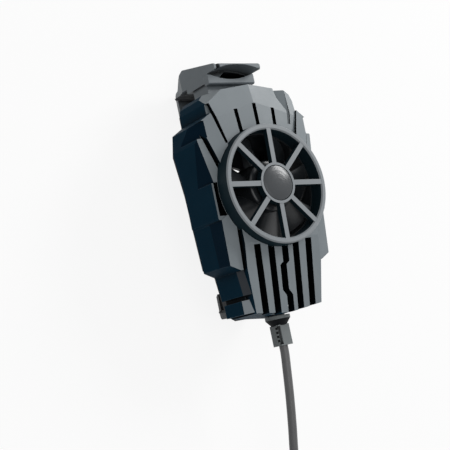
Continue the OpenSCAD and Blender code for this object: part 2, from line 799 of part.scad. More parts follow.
// The plate under the pull lip. Its hollowed top edge leaves room for a finger.
module jaw_plate() {
  edge = 0.4;
  color(shell_grey)
    difference() {
      across([
        [plate_y + edge, plate_z], [lip_y, plate_z], [lip_y, plate_top - edge], [lip_y - edge, plate_top],
        [plate_y + edge, plate_top], [plate_y, plate_top - edge], [plate_y, plate_z + edge]
      ], jaw_w);
      translate([0, hollow_y + hollow_r, plate_z - cut])
        cylinder(h = plate_top - plate_z + 2 * cut, r = hollow_r, $fn = 180);
    }
}

// Return springs of the slider, with their axes along Y

spring_l = spring_y1 - spring_y0;
function spring_point(t) = [
  spring_r * cos(360 * t),
  spring_y0 + (spring_l - spring_wire) * t / spring_turns + spring_wire / 2,
  spring_r * sin(360 * t)
];

// A wire along the helix, ringed square to the axis that it winds round
module helix(turns, rings, r, sides) {
  n = turns * rings;
  points = [
    for (i = [0 : n])
      let (c = spring_point(i / rings), out = [cos(360 * i / rings), 0, sin(360 * i / rings)])
        for (k = [0 : sides - 1]) c + r * (cos(360 * k / sides) * out + sin(360 * k / sides) * [0, 1, 0])
  ];
  walls = [
    for (i = [0 : n - 1]) for (k = [0 : sides - 1])
      let (a = i * sides + k, b = i * sides + (k + 1) % sides)
      each [[a, b, a + sides], [b, b + sides, a + sides]]
  ];
  ends = [[for (k = [sides - 1 : -1 : 0]) k], [for (k = [0 : sides - 1]) n * sides + k]];
  polyhedron(points, concat(walls, ends));
}

module return_springs() {
  color(steel)
    both_sides() translate([spring_x, 0, spring_z]) helix(spring_turns, 8, spring_wire / 2, 6);
}

// Fan

module fan_frame() {
  color(black)
    difference() {
      union() {
        translate([0, 0, fan_z]) difference() {
          cylinder(h = duct_h, r = frame_r);
          translate([0, 0, -cut]) cylinder(h = duct_h + 2 * cut, r = duct_r);
        }
        translate([0, 0, fan_z]) cylinder(h = base_t, r = base_r);
        for (a = [45 : 90 : 315])
          rotate([0, 0, a])
            translate([base_r - 1, -1, fan_z]) cube([duct_r + 0.3 - base_r + 1, 2, base_t - 0.2]);
        at_each(fan_screw_spots) translate([0, 0, fan_z]) cylinder(h = fan_ear_t, r = boss_r);
        translate([0, 0, fan_z]) cylinder(h = tube_top - fan_z, r = tube_r);
      }
      translate([0, 0, fan_z + 0.5]) cylinder(h = far, r = sleeve_r);
      at_each(fan_screw_spots)
        translate([0, 0, fan_z - cut]) cylinder(h = fan_ear_t + 2 * cut, r = screw_r + screw_play);
      // Way out for the wires
      translate([-wire_notch / 2, -frame_r - 1, fan_z - cut]) cube([wire_notch, 4, 1.6 + cut]);
    }
}

module bearing_sleeve() {
  color("#a98746")
    translate([0, 0, sleeve_z0]) difference() {
      cylinder(h = tube_top - sleeve_z0 - 0.3, r = sleeve_r);
      translate([0, 0, -cut]) cylinder(h = far, r = shaft_r + run_gap);
    }
}

module rotor_shaft() {
  color(steel) translate([0, 0, shaft_z0]) cylinder(h = hub_top - hub_skin / 2 - shaft_z0, r = shaft_r);
}

module shaft_clip() {
  color(black)
    translate([0, 0, shaft_z0 + 0.25]) difference() {
      cylinder(h = 0.35, r = sleeve_r - 0.4);
      translate([0, 0, -cut]) cylinder(h = 2, r = shaft_r);
      translate([0, -0.4, -cut]) cube([3, 0.8, 2]);
    }
}

// Blades: cambered sections wrapped on cylinders about the shaft, lofted from the hub to the tip
blade_stations = 5;
blade_side = 6;
blade_t = 1.1;
blade_camber = 0.9;
blade_h = hub_top - 0.3 - hub_z0 - 0.8;

// Half thickness along the section, thickest at a third of its chord
function blade_half(u) = 0.2 + (blade_t / 2 - 0.2) * sin(180 * pow(u, 0.65));

// One point of a section: u runs along the chord from 0 to 1, and face is 1 on top and -1 below
function blade_point(r, u, face) =
  let (
    run = r * blade_twist * PI / 180,
    pitch = atan2(blade_h, run),
    off = blade_camber * sin(180 * u) + face * blade_half(u),
    a = (run * (u - 0.5) - off * sin(pitch)) / r * 180 / PI,
    z = hub_z0 + 0.8 + min(max(blade_h * u + off * cos(pitch), 0), blade_h)
  )
  [r * cos(a), r * sin(a), z];

module blade() {
  root = hub_r - 0.4;
  n = blade_side;
  m = 2 * n;
  us = [for (k = [0 : n - 1]) k / (n - 1)];
  points = [
    for (i = [0 : blade_stations - 1])
      let (r = root + (blade_r - root) * i / (blade_stations - 1))
      each concat([for (u = us) blade_point(r, u, 1)], [for (u = turned(us)) blade_point(r, u, -1)])
  ];
  last = (blade_stations - 1) * m;
  walls = [
    for (i = [0 : blade_stations - 2]) for (k = [0 : m - 1])
      let (a = i * m + k, b = i * m + (k + 1) % m)
      each [[a, b, a + m], [b, b + m, a + m]]
  ];
  caps = [
    for (k = [0 : n - 2]) let (c = m - 1 - k, d = m - 2 - k)
      each [
        [k, c, k + 1], [k + 1, c, d],
        [last + k, last + k + 1, last + c], [last + k + 1, last + d, last + c]
      ]
  ];
  polyhedron(points, concat(walls, caps));
}

module impeller() {
  color(black)
    difference() {
      union() {
        translate([0, 0, hub_z0]) cylinder(h = hub_top - hub_z0 - hub_edge, r = hub_r);
        translate([0, 0, hub_top - hub_edge]) cylinder(h = hub_edge, r1 = hub_r, r2 = hub_r - hub_edge);
        for (i = [0 : blade_count - 1]) rotate([0, 0, 360 * i / blade_count]) blade();
      }
      difference() {
        translate([0, 0, hub_z0 - cut]) cylinder(h = hub_top - hub_skin - hub_z0 + cut, r = cup_r);
        translate([0, 0, tube_top + hub_boss_gap]) cylinder(h = far, r = hub_boss_r);
      }
      translate([0, 0, hub_z0]) cylinder(h = hub_top - hub_skin / 2 - hub_z0, r = shaft_r);
    }
}

module rotor_cup() {
  top = hub_top - hub_skin;
  color(steel)
    translate([0, 0, hub_z0]) difference() {
      cylinder(h = top - hub_z0, r = cup_r);
      translate([0, 0, -cut]) cylinder(h = top - hub_z0 - cup_wall + cut, r = magnet_r);
      cylinder(h = far, r = cup_eye_r);
    }
}

module rotor_magnet() {
  color("#4a4b4d")
    translate([0, 0, hub_z0 + 0.2]) difference() {
      cylinder(h = magnet_h, r = magnet_r);
      translate([0, 0, -cut]) cylinder(h = far, r = magnet_r - magnet_t);
    }
}

module stator_core() {
  color("#8a8d91")
    translate([0, 0, stator_z]) linear_extrude(stator_h) difference() {
      union() {
        circle(r = tube_r + 0.9);
        for (a = [0 : 360 / pole_count : 359]) rotate(a) {
          translate([0, -pole_w / 2]) square([stator_r - shoe_t / 2, pole_w]);
          intersection() {
            difference() {
              circle(r = stator_r);
              circle(r = stator_r - shoe_t);
            }
            polygon([[0, 0], [10, -7], [10, 7]]);
          }
        }
      }
      circle(r = tube_r);
    }
}

module stator_coils() {
  in_r = tube_r + 1;
  half = pole_w / 2 + coil_grip;
  shoe_r = stator_r - shoe_t;
  out_r = sqrt(shoe_r * shoe_r - half * half) - 0.1;
  color(copper)
    for (a = [0 : 360 / pole_count : 359])
      rotate([0, 0, a])
        translate([in_r, 0, stator_z + stator_h / 2])
          rotate([90, 0, 90])
            linear_extrude(out_r - in_r) difference() {
              square([pole_w + 2 * coil_grip, stator_h + 2 * coil_grip], center = true);
              square([pole_w + 0.1, stator_h + 0.1], center = true);
            }
}

module motor_board() {
  color(board_green)
    translate([0, 0, fan_z + base_t]) difference() {
      cylinder(h = board_t, r = base_r - 0.6);
      translate([0, 0, -cut]) cylinder(h = 5, r = tube_r + 0.1);
    }
}

module fan_guard() {
  spoke_h = 1.8;
  color(shell_grey)
    translate([0, 0, duct_top]) {
      rotate_extrude() polygon([
        [guard_r - guard_rim, 0], [guard_r, 0], [guard_r, guard_h - 0.4], [guard_r - 0.4, guard_h],
        [guard_r - guard_rim + 0.4, guard_h], [guard_r - guard_rim, guard_h - 0.4]
      ]);
      difference() {
        union() {
          for (i = [0 : spoke_count - 1])
            rotate([0, 0, -2.5 + 360 * i / spoke_count])
              translate([0, -spoke_w / 2, guard_h - spoke_h - 0.1])
                cube([guard_r - guard_rim / 2, spoke_w, spoke_h]);
          translate([0, 0, guard_h - 2.4]) cylinder(h = 2.4, r = guard_hub_r);
        }
        translate([0, 0, guard_h - 0.8]) cylinder(h = 5, r = guard_hub_r - 0.8);
      }
    }
}

// The plain cap in the middle of the guard
module guard_cap() {
  cap_r = guard_hub_r - 0.8 - 0.1;
  color(dark_grey)
    translate([0, 0, guard_top - 0.8]) rotate_extrude() polygon(concat(
      [[0, 0], [cap_r, 0], [cap_r, 0.6]],
      [for (i = [1 : 6]) [cap_r * cos(15 * i), 0.6 + 0.7 * sin(15 * i)]]
    ));
}

// Board and screws

module control_board() {
  color(board_green)
    difference() {
      translate([-pcb_w / 2, pcb_y - pcb_l / 2, pcb_z]) cube([pcb_w, pcb_l, pcb_t]);
      both_sides() translate([pcb_screw_x, pcb_y, pcb_z - cut]) cylinder(h = 5, r = screw_r + screw_play);
    }
}

module board_parts() {
  top = pcb_z + pcb_t;
  color(dark_grey) translate([0, pcb_y + 3.4, top]) cylinder(h = 2.4, d = 4.4);
  color(dark_grey) translate([-2.2, pcb_y - 1.6, top]) cube([4.4, 3, 1.2]);
  color(steel) both_sides() translate([3.6, pcb_y + 3.4, top]) cube([1.2, 2, 0.7]);
  color("#d8d6cc") translate([-2.6, pcb_y - 5.6, top]) cube([5.2, 2.8, 2.2]);
}

module pan_screw(length) {
  cylinder(h = length, r = screw_r);
  difference() {
    translate([0, 0, -screw_head_h]) cylinder(h = screw_head_h, r = screw_head_r);
    for (a = [0, 90])
      rotate([0, 0, a]) translate([-0.9, -0.2, -screw_head_h - cut]) cube([1.8, 0.4, 0.4 + cut]);
  }
}

module board_screws() {
  color(steel)
    both_sides() translate([pcb_screw_x, pcb_y, pcb_z + pcb_t]) mirror([0, 0, 1]) pan_screw(board_screw_l);
}

module housing_screws() {
  color(steel) at_each(housing_screw_spots) translate([0, 0, rear_z + screw_sink]) pan_screw(housing_screw_l);
}

module fan_screws() {
  color(steel) at_each(fan_screw_spots) translate([0, 0, fan_z]) pan_screw(fan_screw_l);
}

// Wires inside the shell

wire_x = [-0.7, 0.7];

module fan_wires() {
  board_z = fan_z + base_t + board_t + wire_r;
  low_z = fan_z + 0.2 + wire_r;
  pcb_end = pcb_y + pcb_l / 2;
  pcb_top = pcb_z + pcb_t + wire_r;
  color("#a02c2c")
    for (x = wire_x)
      tube([
        [x, -base_r + 1.6, board_z], [x, -base_r - 0.6, board_z], [x, -base_r - 2.4, low_z],
        [x, -frame_r - 0.4, low_z], [x, pcb_end + 0.6, pcb_top], [x, pcb_end - 0.6, pcb_top]
      ], wire_r, 6);
}

module power_wires() {
  top = pcb_z + pcb_t + 2.2 + wire_r;
  color(black)
    for (x = wire_x)
      tube([
        [x, tail_y + 3, lead_z], [x, tail_y + 4, lead_z], [x, pcb_y - 5.6, top + 0.4],
        [x, pcb_y - 4.6, top], [x, pcb_y - 3.4, top]
      ], wire_r, 6);
}

// Lead

module strain_relief() {
  half = relief_w / 2;
  body_y = -3;
  groove = 0.85;
  groove_l = relief_len + body_y - 0.8;
  tooth = 0.7;
  tooth_depth = 0.5;
  tooth_h = 1.7;
  tooth_pitch = 1.3;
  tooth_from = body_y - 0.7;
  teeth = floor((groove_l - 0.2) / tooth_pitch);
  color(dark_grey)
    translate([0, tail_y, lead_z]) difference() {
      union() {
        // Grommet through the wall, collar and taper
        rotate([90, 0, 0]) rotate_extrude() polygon([
          [0, -3], [relief_hole_r + 1, -3], [relief_hole_r + 1, -1.9], [relief_hole_r, -1.9],
          [relief_hole_r, 0.15], [collar_r, 0.15], [collar_r, 1.2], [half + 0.2, 3.2], [0, 3.2]
        ]);
        translate([-half, -relief_len, -half]) cube([relief_w, relief_len + body_y, relief_w]);
      }
      // Toothed flex grooves along two opposite corners
      for (turn = [0, 180])
        rotate([0, turn, 0])
          translate([-half, 0, half]) {
            translate([-1, body_y - 0.4 - groove_l, -groove]) cube([1 + groove, groove_l, 1 + groove]);
            for (i = [0 : teeth - 1])
              translate([-1, tooth_from - i * tooth_pitch - tooth, -tooth_h])
                cube([1 + tooth_depth, tooth, tooth_h]);
          }
    }
}

module lead_cord() {
  color(dark_grey) tube(lead_route, lead_r, 8);
}

module lead_coil() {
  color(dark_grey) tube(coil_route, lead_r, 6);
}

// A strap round the turns on the far side of the coil
module coil_tie() {
  strap_t = 0.6;
  strap_w = 5;
  gap = 0.25;
  inner = coil_r_in - lead_r - gap;
  r0 = sqrt(inner * inner - strap_w * strap_w / 4);
  r1 = coil_r_out + lead_r + gap;
  z1 = coil_z + layer_pitch + lead_r + gap;
  color(black)
    translate([coil_centre.x, coil_centre.y, 0])
      rotate([0, 0, -90])
        rotate([90, 0, 0])
          translate([0, 0, -strap_w / 2])
            linear_extrude(strap_w) difference() {
              translate([r0 - strap_t, 0]) square([r1 - r0 + 2 * strap_t, z1 + strap_t]);
              translate([r0, strap_t]) square([r1 - r0, z1 - strap_t]);
            }
}

module usb_plug() {
  corner = 1.6;
  color(dark_grey)
    translate(plug_face)
      difference() {
        union() {
          rotate([-90, 0, 0]) linear_extrude(plug_l) polygon([
            for (s = [[1, -1, -90], [1, 1, 0], [-1, 1, 90], [-1, -1, 180]])
              let (c = [s[0] * (plug_w / 2 - corner), s[1] * (plug_h / 2 - corner)])
                each arc(c, corner, s[2], s[2] + 90, 4)
          ]);
        }
        // Finger flutes on the broad faces
        for (s = [1, -1]) for (i = [0 : 3])
          translate([-plug_w / 2 - 1, 5 + i * 2.4, s * (plug_h / 2 + 0.5)])
            rotate([0, 90, 0]) cylinder(h = plug_w + 2, r = 0.9);
        translate([-shell_w / 2, plug_l - shell_sunk, -shell_h / 2])
          cube([shell_w, shell_sunk + 2, shell_h]);
      }
}

module usb_plug_shell() {
  color(steel)
    translate(plug_face + [-shell_w / 2, plug_l - shell_sunk, -shell_h / 2])
      difference() {
        cube([shell_w, shell_l + shell_sunk, shell_h]);
        translate([shell_t, shell_t, shell_t])
          cube([shell_w - 2 * shell_t, shell_l + shell_sunk + 2, shell_h - 2 * shell_t]);
        for (x = [2.2, shell_w - 4.4]) translate([x, 9, -1]) cube([2.2, 2.4, shell_h + 2]);
      }
}

module usb_plug_core() {
  core_h = 1.9;
  core_short = 1.4;
  inner_w = shell_w - 2 * shell_t;
  color("#e8e8e4")
    translate(plug_face + [-inner_w / 2, plug_l - shell_sunk + shell_t, -shell_h / 2 + shell_t])
      cube([inner_w, shell_l + shell_sunk - core_short, core_h]);
}

placed() rear_housing();
placed() front_cover();
placed() fan_guard();
placed() guard_cap();
placed() fan_frame();
placed() impeller();
placed() rotor_cup();
placed() rotor_magnet();
placed() rotor_shaft();
placed() shaft_clip();
placed() bearing_sleeve();
placed() stator_core();
placed() stator_coils();
placed() motor_board();
placed() control_board();
placed() board_parts();
placed() board_screws();
placed() housing_screws();
placed() fan_screws();
placed() contact_pads();
placed() jaw_slider();
placed() jaw_plate();
placed() upper_jaw_pad();
placed() lower_jaw_pad();
placed() return_springs();
placed() fan_wires();
placed() power_wires();
placed() strain_relief();
lead_cord();
lead_coil();
coil_tie();
usb_plug();
usb_plug_shell();
usb_plug_core();
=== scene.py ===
"""Looks of a clip-on cooling fan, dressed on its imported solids.

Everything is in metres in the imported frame. The fan shaft runs along Z, the jaw slides along Y, and
the part lies on the backs of its two claws at Z = 0 with the fan facing up.
"""

import logging
import math
from collections.abc import Iterable, Sequence
from dataclasses import dataclass, field
from enum import Enum

import bmesh
import bpy
from mathutils import Euler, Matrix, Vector


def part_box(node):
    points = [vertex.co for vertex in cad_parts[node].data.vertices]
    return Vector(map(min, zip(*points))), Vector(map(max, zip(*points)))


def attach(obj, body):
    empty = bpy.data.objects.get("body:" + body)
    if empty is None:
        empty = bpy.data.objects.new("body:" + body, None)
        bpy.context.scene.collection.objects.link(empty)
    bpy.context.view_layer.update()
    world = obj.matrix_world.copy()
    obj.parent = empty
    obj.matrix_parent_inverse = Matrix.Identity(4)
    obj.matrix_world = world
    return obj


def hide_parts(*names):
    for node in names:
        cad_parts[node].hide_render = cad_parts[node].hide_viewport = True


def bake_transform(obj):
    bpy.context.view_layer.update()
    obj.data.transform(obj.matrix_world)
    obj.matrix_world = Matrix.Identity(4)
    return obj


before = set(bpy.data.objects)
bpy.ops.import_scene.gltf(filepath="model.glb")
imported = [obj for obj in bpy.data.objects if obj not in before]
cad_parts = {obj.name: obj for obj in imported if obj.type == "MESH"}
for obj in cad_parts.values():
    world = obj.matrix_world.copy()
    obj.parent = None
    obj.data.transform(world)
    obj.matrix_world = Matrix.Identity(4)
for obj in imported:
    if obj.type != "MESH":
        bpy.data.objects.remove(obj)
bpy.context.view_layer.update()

LOG = logging.getLogger("cooling_fan")
MM = 0.001

# Limits between which a noise or a band fades in, how uneven bands are, and how patches, rubbing and painted
# edge highlights show
BRUSH_STRETCH = (1.0, 0.06, 1.0)
TURN_WOBBLE = 0.2
STACK_WOBBLE = 0.1
TRACE_WOBBLE = 1.5
TRACE_LIMITS = (0.75, 0.95)
SPECKLE_LIMITS = (0.35, 0.75)
PATCH_LIMITS = (0.3, 0.75)
RELIEF_SHARE = 0.45
CLOUD_SHARE = 0.6
EDGE_LIMITS = (0.01, 0.12)
EDGE_RAYS = 4
OPEN_RAYS = 8
RUB_HIGHLIGHT_LIMITS = (0.25, 0.7)
RUB_HIGHLIGHT_REACH = 0.35 * MM
RUB_HIGHLIGHT_SPOTS = 1.5 * MM
RUB_HIGHLIGHT_GAIN = 1.35
RUB_HIGHLIGHT_LIFT = 0.03

Colour = tuple[float, float, float]
Point = tuple[float, float, float]
Socket = bpy.types.NodeSocket


class Body(Enum):
    """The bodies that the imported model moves."""

    HOUSING = "housing"
    ROTOR = "rotor"
    SLIDER = "slider"


class Pattern(Enum):
    """The fine structure that a finish shows up close."""

    GRAIN = "grain"
    BRUSHED = "brushed"
    WEAVE = "weave"
    TURNS = "turns"
    STACK = "stack"
    SPECKLE = "speckle"
    TRACES = "traces"


class Shader:
    """A surface under construction, with short calls for the nodes that the finishes use."""

    def __init__(self, name: str) -> None:
        """Starts a material.

        Args:
            name: The material's name.
        """
        self.material = bpy.data.materials.new(name)
        self.material.use_nodes = True
        self.tree = self.material.node_tree
        self.surface = self.tree.nodes["Principled BSDF"]
        self.place = self.tree.nodes.new("ShaderNodeTexCoord")

    def fill(self, target: Socket, value: "Socket | float | Sequence[float]") -> None:
        """Feeds an input.

        Args:
            target: The input.
            value: An output to link, or a plain value.
        """
        if isinstance(value, bpy.types.NodeSocket):
            self.tree.links.new(value, target)
        else:
            target.default_value = value

    def math(self, operation: str, *values: "Socket | float") -> Socket:
        """One sum.

        Args:
            operation: The sum's kind.
            values: What goes into it.

        Returns:
            The sum's output.
        """
        node = self.tree.nodes.new("ShaderNodeMath")
        node.operation = operation
        for target, value in zip(node.inputs, values):
            self.fill(target, value)
        return node.outputs[0]

    def ramp(self, value: Socket, low: float, high: float) -> Socket:
        """A smooth step.

        Args:
            value: What is stepped.
            low: Where the result is 0.
            high: Where the result is 1.

        Returns:
            The step's output.
        """
        node = self.tree.nodes.new("ShaderNodeMapRange")
        node.interpolation_type = "SMOOTHSTEP"
        self.fill(node.inputs["Value"], value)
        self.fill(node.inputs["From Min"], low)
        self.fill(node.inputs["From Max"], high)
        return node.outputs["Result"]

    def mix(self, share: "Socket | float", a: "Socket | Colour", b: "Socket | Colour") -> Socket:
        """A mix of two colours.

        Args:
            share: How much of the second colour shows.
            a: The first colour.
            b: The second colour.

        Returns:
            The mixed colour.
        """
        node = self.tree.nodes.new("ShaderNodeMix")
        node.data_type = "RGBA"
        self.fill(node.inputs[0], share)
        for target, value in ((node.inputs[6], a), (node.inputs[7], b)):
            self.fill(target, value if isinstance(value, bpy.types.NodeSocket) else (*value, 1.0))
        return node.outputs[2]

    def noise(self, pitch: float, detail: float = 2.0, stretch: Point = (1.0, 1.0, 1.0)) -> Socket:
        """Noise in the piece's own space.

        Args:
            pitch: Size of its spots.
            detail: How many finer layers it has.
            stretch: How much it is squeezed along each axis.

        Returns:
            The noise, about 0.5.
        """
        mapping = self.tree.nodes.new("ShaderNodeMapping")
        self.fill(mapping.inputs["Vector"], self.place.outputs["Object"])
        self.fill(mapping.inputs["Scale"], stretch)
        node = self.tree.nodes.new("ShaderNodeTexNoise")
        self.fill(node.inputs["Vector"], mapping.outputs["Vector"])
        self.fill(node.inputs["Scale"], 1.0 / pitch)
        self.fill(node.inputs["Detail"], detail)
        return node.outputs["Fac"]

    def bands(self, pitch: float, axis: str, wobble: float = 0.0) -> Socket:
        """Even bands across an axis.

        Args:
            pitch: Distance from band to band.
            axis: The axis that they follow each other along.
            wobble: How uneven they are.

        Returns:
            The bands, from 0 to 1.
        """
        node = self.tree.nodes.new("ShaderNodeTexWave")
        node.bands_direction = axis
        self.fill(node.inputs["Vector"], self.place.outputs["Object"])
        self.fill(node.inputs["Scale"], math.pi / (10.0 * pitch))
        self.fill(node.inputs["Distortion"], wobble)
        return node.outputs["Fac"]

    def bump(self, height: Socket, depth: float) -> None:
        """Raises the surface.

        Args:
            height: The relief, from 0 to 1.
            depth: Its height in metres.
        """
        node = self.tree.nodes.new("ShaderNodeBump")
        self.fill(node.inputs["Height"], height)
        self.fill(node.inputs["Distance"], depth)
        self.fill(self.surface.inputs["Normal"], node.outputs["Normal"])

    def edges(self, radius: float) -> Socket:
        """How close the surface is to an edge.

        Args:
            radius: How far from the edge it is felt.

        Returns:
            1 on an edge and 0 away from it.
        """
        rounded = self.tree.nodes.new("ShaderNodeBevel")
        rounded.samples = EDGE_RAYS
        self.fill(rounded.inputs["Radius"], radius)
        plain = self.tree.nodes.new("ShaderNodeNewGeometry")
        dot = self.tree.nodes.new("ShaderNodeVectorMath")
        dot.operation = "DOT_PRODUCT"
        self.fill(dot.inputs[0], rounded.outputs["Normal"])
        self.fill(dot.inputs[1], plain.outputs["Normal"])
        return self.ramp(self.math("SUBTRACT", 1.0, dot.outputs["Value"]), *EDGE_LIMITS)

    def openness(self, reach: float) -> Socket:
        """How open the surface lies.

        Args:
            reach: How far off another face still shades it.

        Returns:
            1 in the open and 0 deep in a groove.
        """
        node = self.tree.nodes.new("ShaderNodeAmbientOcclusion")
        node.samples = OPEN_RAYS
        node.only_local = True
        self.fill(node.inputs["Distance"], reach)
        return node.outputs["AO"]


@dataclass(frozen=True)
class Finish:
    """A surface: its colour, gloss and fine structure."""

    name: str
    colour: Colour
    shade: Colour
    roughness: float
    pattern: Pattern = Pattern.GRAIN
    pitch: float = 0.2 * MM
    depth: float = 0.01 * MM
    swing: float = 0.12
    metallic: float = 0.0
    specular: float = 0.4
    sheen: float = 0.0
    # How much edges are lightened: edge wear mixed with a painted edge highlight
    wear_and_highlight: float = 0.0
    mottle: float = 9 * MM
    # Painted shade in grooves and hollows: how far off a face darkens, the openness where it is full and where
    # it ends, and the shade colour
    groove: float = 0.0
    groove_dark: float = 0.3
    groove_clear: float = 0.72
    hollow: Colour = (0.002, 0.0025, 0.003)

    def structure(self, shader: Shader) -> Socket:
        """The fine structure.

        Args:
            shader: The surface under construction.

        Returns:
            Its relief, from 0 to 1.
        """
        if self.pattern is Pattern.BRUSHED:
            return shader.noise(self.pitch, 3.0, BRUSH_STRETCH)
        if self.pattern is Pattern.WEAVE:
            over = shader.bands(self.pitch, "X")
            under = shader.bands(self.pitch, "Y")
            return shader.math("ABSOLUTE", shader.math("SUBTRACT", over, under))
        if self.pattern is Pattern.TURNS:
            return shader.bands(self.pitch, "DIAGONAL", TURN_WOBBLE)
        if self.pattern is Pattern.STACK:
            return shader.bands(self.pitch, "Z", STACK_WOBBLE)
        if self.pattern is Pattern.TRACES:
            lines = [shader.bands(self.pitch, axis, TRACE_WOBBLE) for axis in "XY"]
            return shader.ramp(shader.math("MAXIMUM", *lines), *TRACE_LIMITS)
        if self.pattern is Pattern.SPECKLE:
            return shader.ramp(shader.noise(self.pitch, 4.0), *SPECKLE_LIMITS)
        return shader.noise(self.pitch, 3.0)

    def tint(self, shader: Shader, relief: Socket) -> Socket:
        """The colour over the surface, with edges lightened as wear and painted highlight, and grooves
        darkened as painted shade.

        Args:
            shader: The surface under construction.
            relief: The fine structure.

        Returns:
            The colour.
        """
        patches = shader.ramp(shader.noise(self.mottle, 4.0), *PATCH_LIMITS)
        rest = shader.math("MULTIPLY", patches, 1.0 - RELIEF_SHARE)
        share = shader.math("MULTIPLY_ADD", relief, RELIEF_SHARE, rest)
        colour = shader.mix(share, self.shade, self.colour)
        # Edge wear and painted edge highlight: edges lightened towards a lighter colour in noisy spots
        if self.wear_and_highlight > 0.0:
            spots = shader.ramp(shader.noise(RUB_HIGHLIGHT_SPOTS), *RUB_HIGHLIGHT_LIMITS)
            rub_and_highlight = shader.math("MULTIPLY", shader.edges(RUB_HIGHLIGHT_REACH), spots)
            light = tuple(min(1.0, RUB_HIGHLIGHT_GAIN * c + RUB_HIGHLIGHT_LIFT) for c in self.colour)
            colour = shader.mix(shader.math("MULTIPLY", rub_and_highlight, self.wear_and_highlight), colour, light)
        # Painted shade: grooves and hollows darkened towards the hollow colour by how closed in they are
        if self.groove > 0.0:
            clear = shader.ramp(shader.openness(self.groove), self.groove_dark, self.groove_clear)
            colour = shader.mix(clear, self.hollow, colour)
        return colour

    def material(self) -> bpy.types.Material:
        """The finish as a material, made once.

        Returns:
            The material.
        """
        known = bpy.data.materials.get(self.name)
        if known is not None:
            return known
        shader = Shader(self.name)
        relief = self.structure(shader)
        inputs = shader.surface.inputs
        shader.fill(inputs["Base Color"], self.tint(shader, relief))
        cloudy = shader.noise(CLOUD_SHARE * self.mottle, 3.0)
        gloss = shader.math("MULTIPLY_ADD", shader.math("SUBTRACT", cloudy, 0.5), self.swing, self.roughness)
        shader.fill(inputs["Roughness"], gloss)
        inputs["Metallic"].default_value = self.metallic
        inputs["Specular IOR Level"].default_value = self.specular
        inputs["Sheen Weight"].default_value = self.sheen
        shader.bump(relief, self.depth)
        return shader.material

    def dress(self, *pieces: bpy.types.Object) -> None:
        """Gives pieces this finish alone.

        Args:
            pieces: The pieces.
        """
        for piece in pieces:
            piece.data.materials.clear()
            piece.data.materials.append(self.material())


# Face colour; its grooves get painted shade and its edges wear with a painted highlight
SHELL = Finish(
    "shell_satin", (0.205, 0.234, 0.252), (0.175, 0.202, 0.219), 0.44, pitch=0.16 * MM, depth=0.008 * MM,
    specular=0.35, wear_and_highlight=0.5, groove=3.2 * MM,
)
# Painted shade tinted blue as a painted reflection on the cover's walls, darker still near steps, with strong
# painted highlights on their edges
SHELL_WALL_PAINTED_SHADE = Finish(
    "shell_wall", (0.0025, 0.025, 0.047), (0.0018, 0.0195, 0.038), 0.5, pitch=0.16 * MM, depth=0.008 * MM,
    specular=0.018, wear_and_highlight=3.0, groove=6 * MM, groove_dark=0.6, groove_clear=0.96,
)
# Painted shade tinted blue as a painted reflection on the cover's steep facets, with strong painted highlights
# on their edges
SHELL_FACET_PAINTED_SHADE = Finish(
    "shell_facet_painted_shade", (0.003, 0.0145, 0.029), (0.002, 0.011, 0.0225), 0.5, pitch=0.16 * MM, depth=0.008 * MM,
    specular=0.018, wear_and_highlight=3.0, groove=3.2 * MM,
)
# Painted shade: a darker copy of the face colour on the skirt panel
SHELL_SKIRT_PAINTED_SHADE = Finish(
    "shell_skirt_painted_shade", (0.052, 0.058, 0.066), (0.042, 0.047, 0.054), 0.5, pitch=0.16 * MM, depth=0.008 * MM,
    specular=0.06, wear_and_highlight=0.2,
)
# Painted light: a lighter copy of the face colour on the foot facet
SHELL_FOOT_PAINTED_LIGHT = Finish(
    "shell_foot_painted_light", (0.3, 0.335, 0.36), (0.26, 0.293, 0.315), 0.44, pitch=0.16 * MM, depth=0.008 * MM,
    specular=0.35, wear_and_highlight=0.5,
)
# Its grooves get painted shade
GUARD = Finish(
    "guard_satin", (0.25, 0.272, 0.29), (0.215, 0.235, 0.25), 0.42, pitch=0.16 * MM, depth=0.006 * MM,
    specular=0.3, wear_and_highlight=0.4, groove=1.2 * MM,
)
# Painted shade with a slight teal tint on the guard's walls
GUARD_WALL_PAINTED_SHADE = Finish(
    "guard_wall_painted_shade", (0.012, 0.026, 0.034), (0.008, 0.0185, 0.025), 0.46, pitch=0.16 * MM, depth=0.006 * MM,
    specular=0.05, wear_and_highlight=0.2,
)
# Its finger pocket and grooves get strong painted shade
JAW = Finish(
    "jaw_satin", (0.185, 0.21, 0.228), (0.155, 0.178, 0.194), 0.44, pitch=0.16 * MM, depth=0.008 * MM,
    specular=0.25, wear_and_highlight=0.5, groove=4.5 * MM, groove_dark=0.5, groove_clear=0.88,
)
TRAY = Finish(
    "tray_eroded", (0.016, 0.019, 0.022), (0.010, 0.012, 0.014), 0.58, pitch=0.3 * MM, depth=0.03 * MM,
    specular=0.3, wear_and_highlight=0.5,
)
CAP = Finish(
    "cap_gloss", (0.05, 0.056, 0.062), (0.04, 0.045, 0.05), 0.22, pitch=0.5 * MM, depth=0.002 * MM, wear_and_highlight=0.3,
)
FAN = Finish(
    "fan_black", (0.02, 0.023, 0.026), (0.013, 0.015, 0.017), 0.3, pitch=0.4 * MM, depth=0.003 * MM, wear_and_highlight=0.4,
)
SILICONE = Finish(
    "silicone_matt", (0.036, 0.04, 0.044), (0.025, 0.028, 0.031), 0.78, pitch=0.25 * MM, depth=0.012 * MM,
    specular=0.25, sheen=0.15, wear_and_highlight=0.2,
)
# Its grooves and teeth get painted shade
RELIEF = Finish(
    "relief_satin", (0.19, 0.21, 0.212), (0.145, 0.16, 0.163), 0.5, pitch=0.2 * MM, depth=0.01 * MM,
    specular=0.25, wear_and_highlight=0.3, groove=1.2 * MM, groove_dark=0.5, groove_clear=0.92,
)
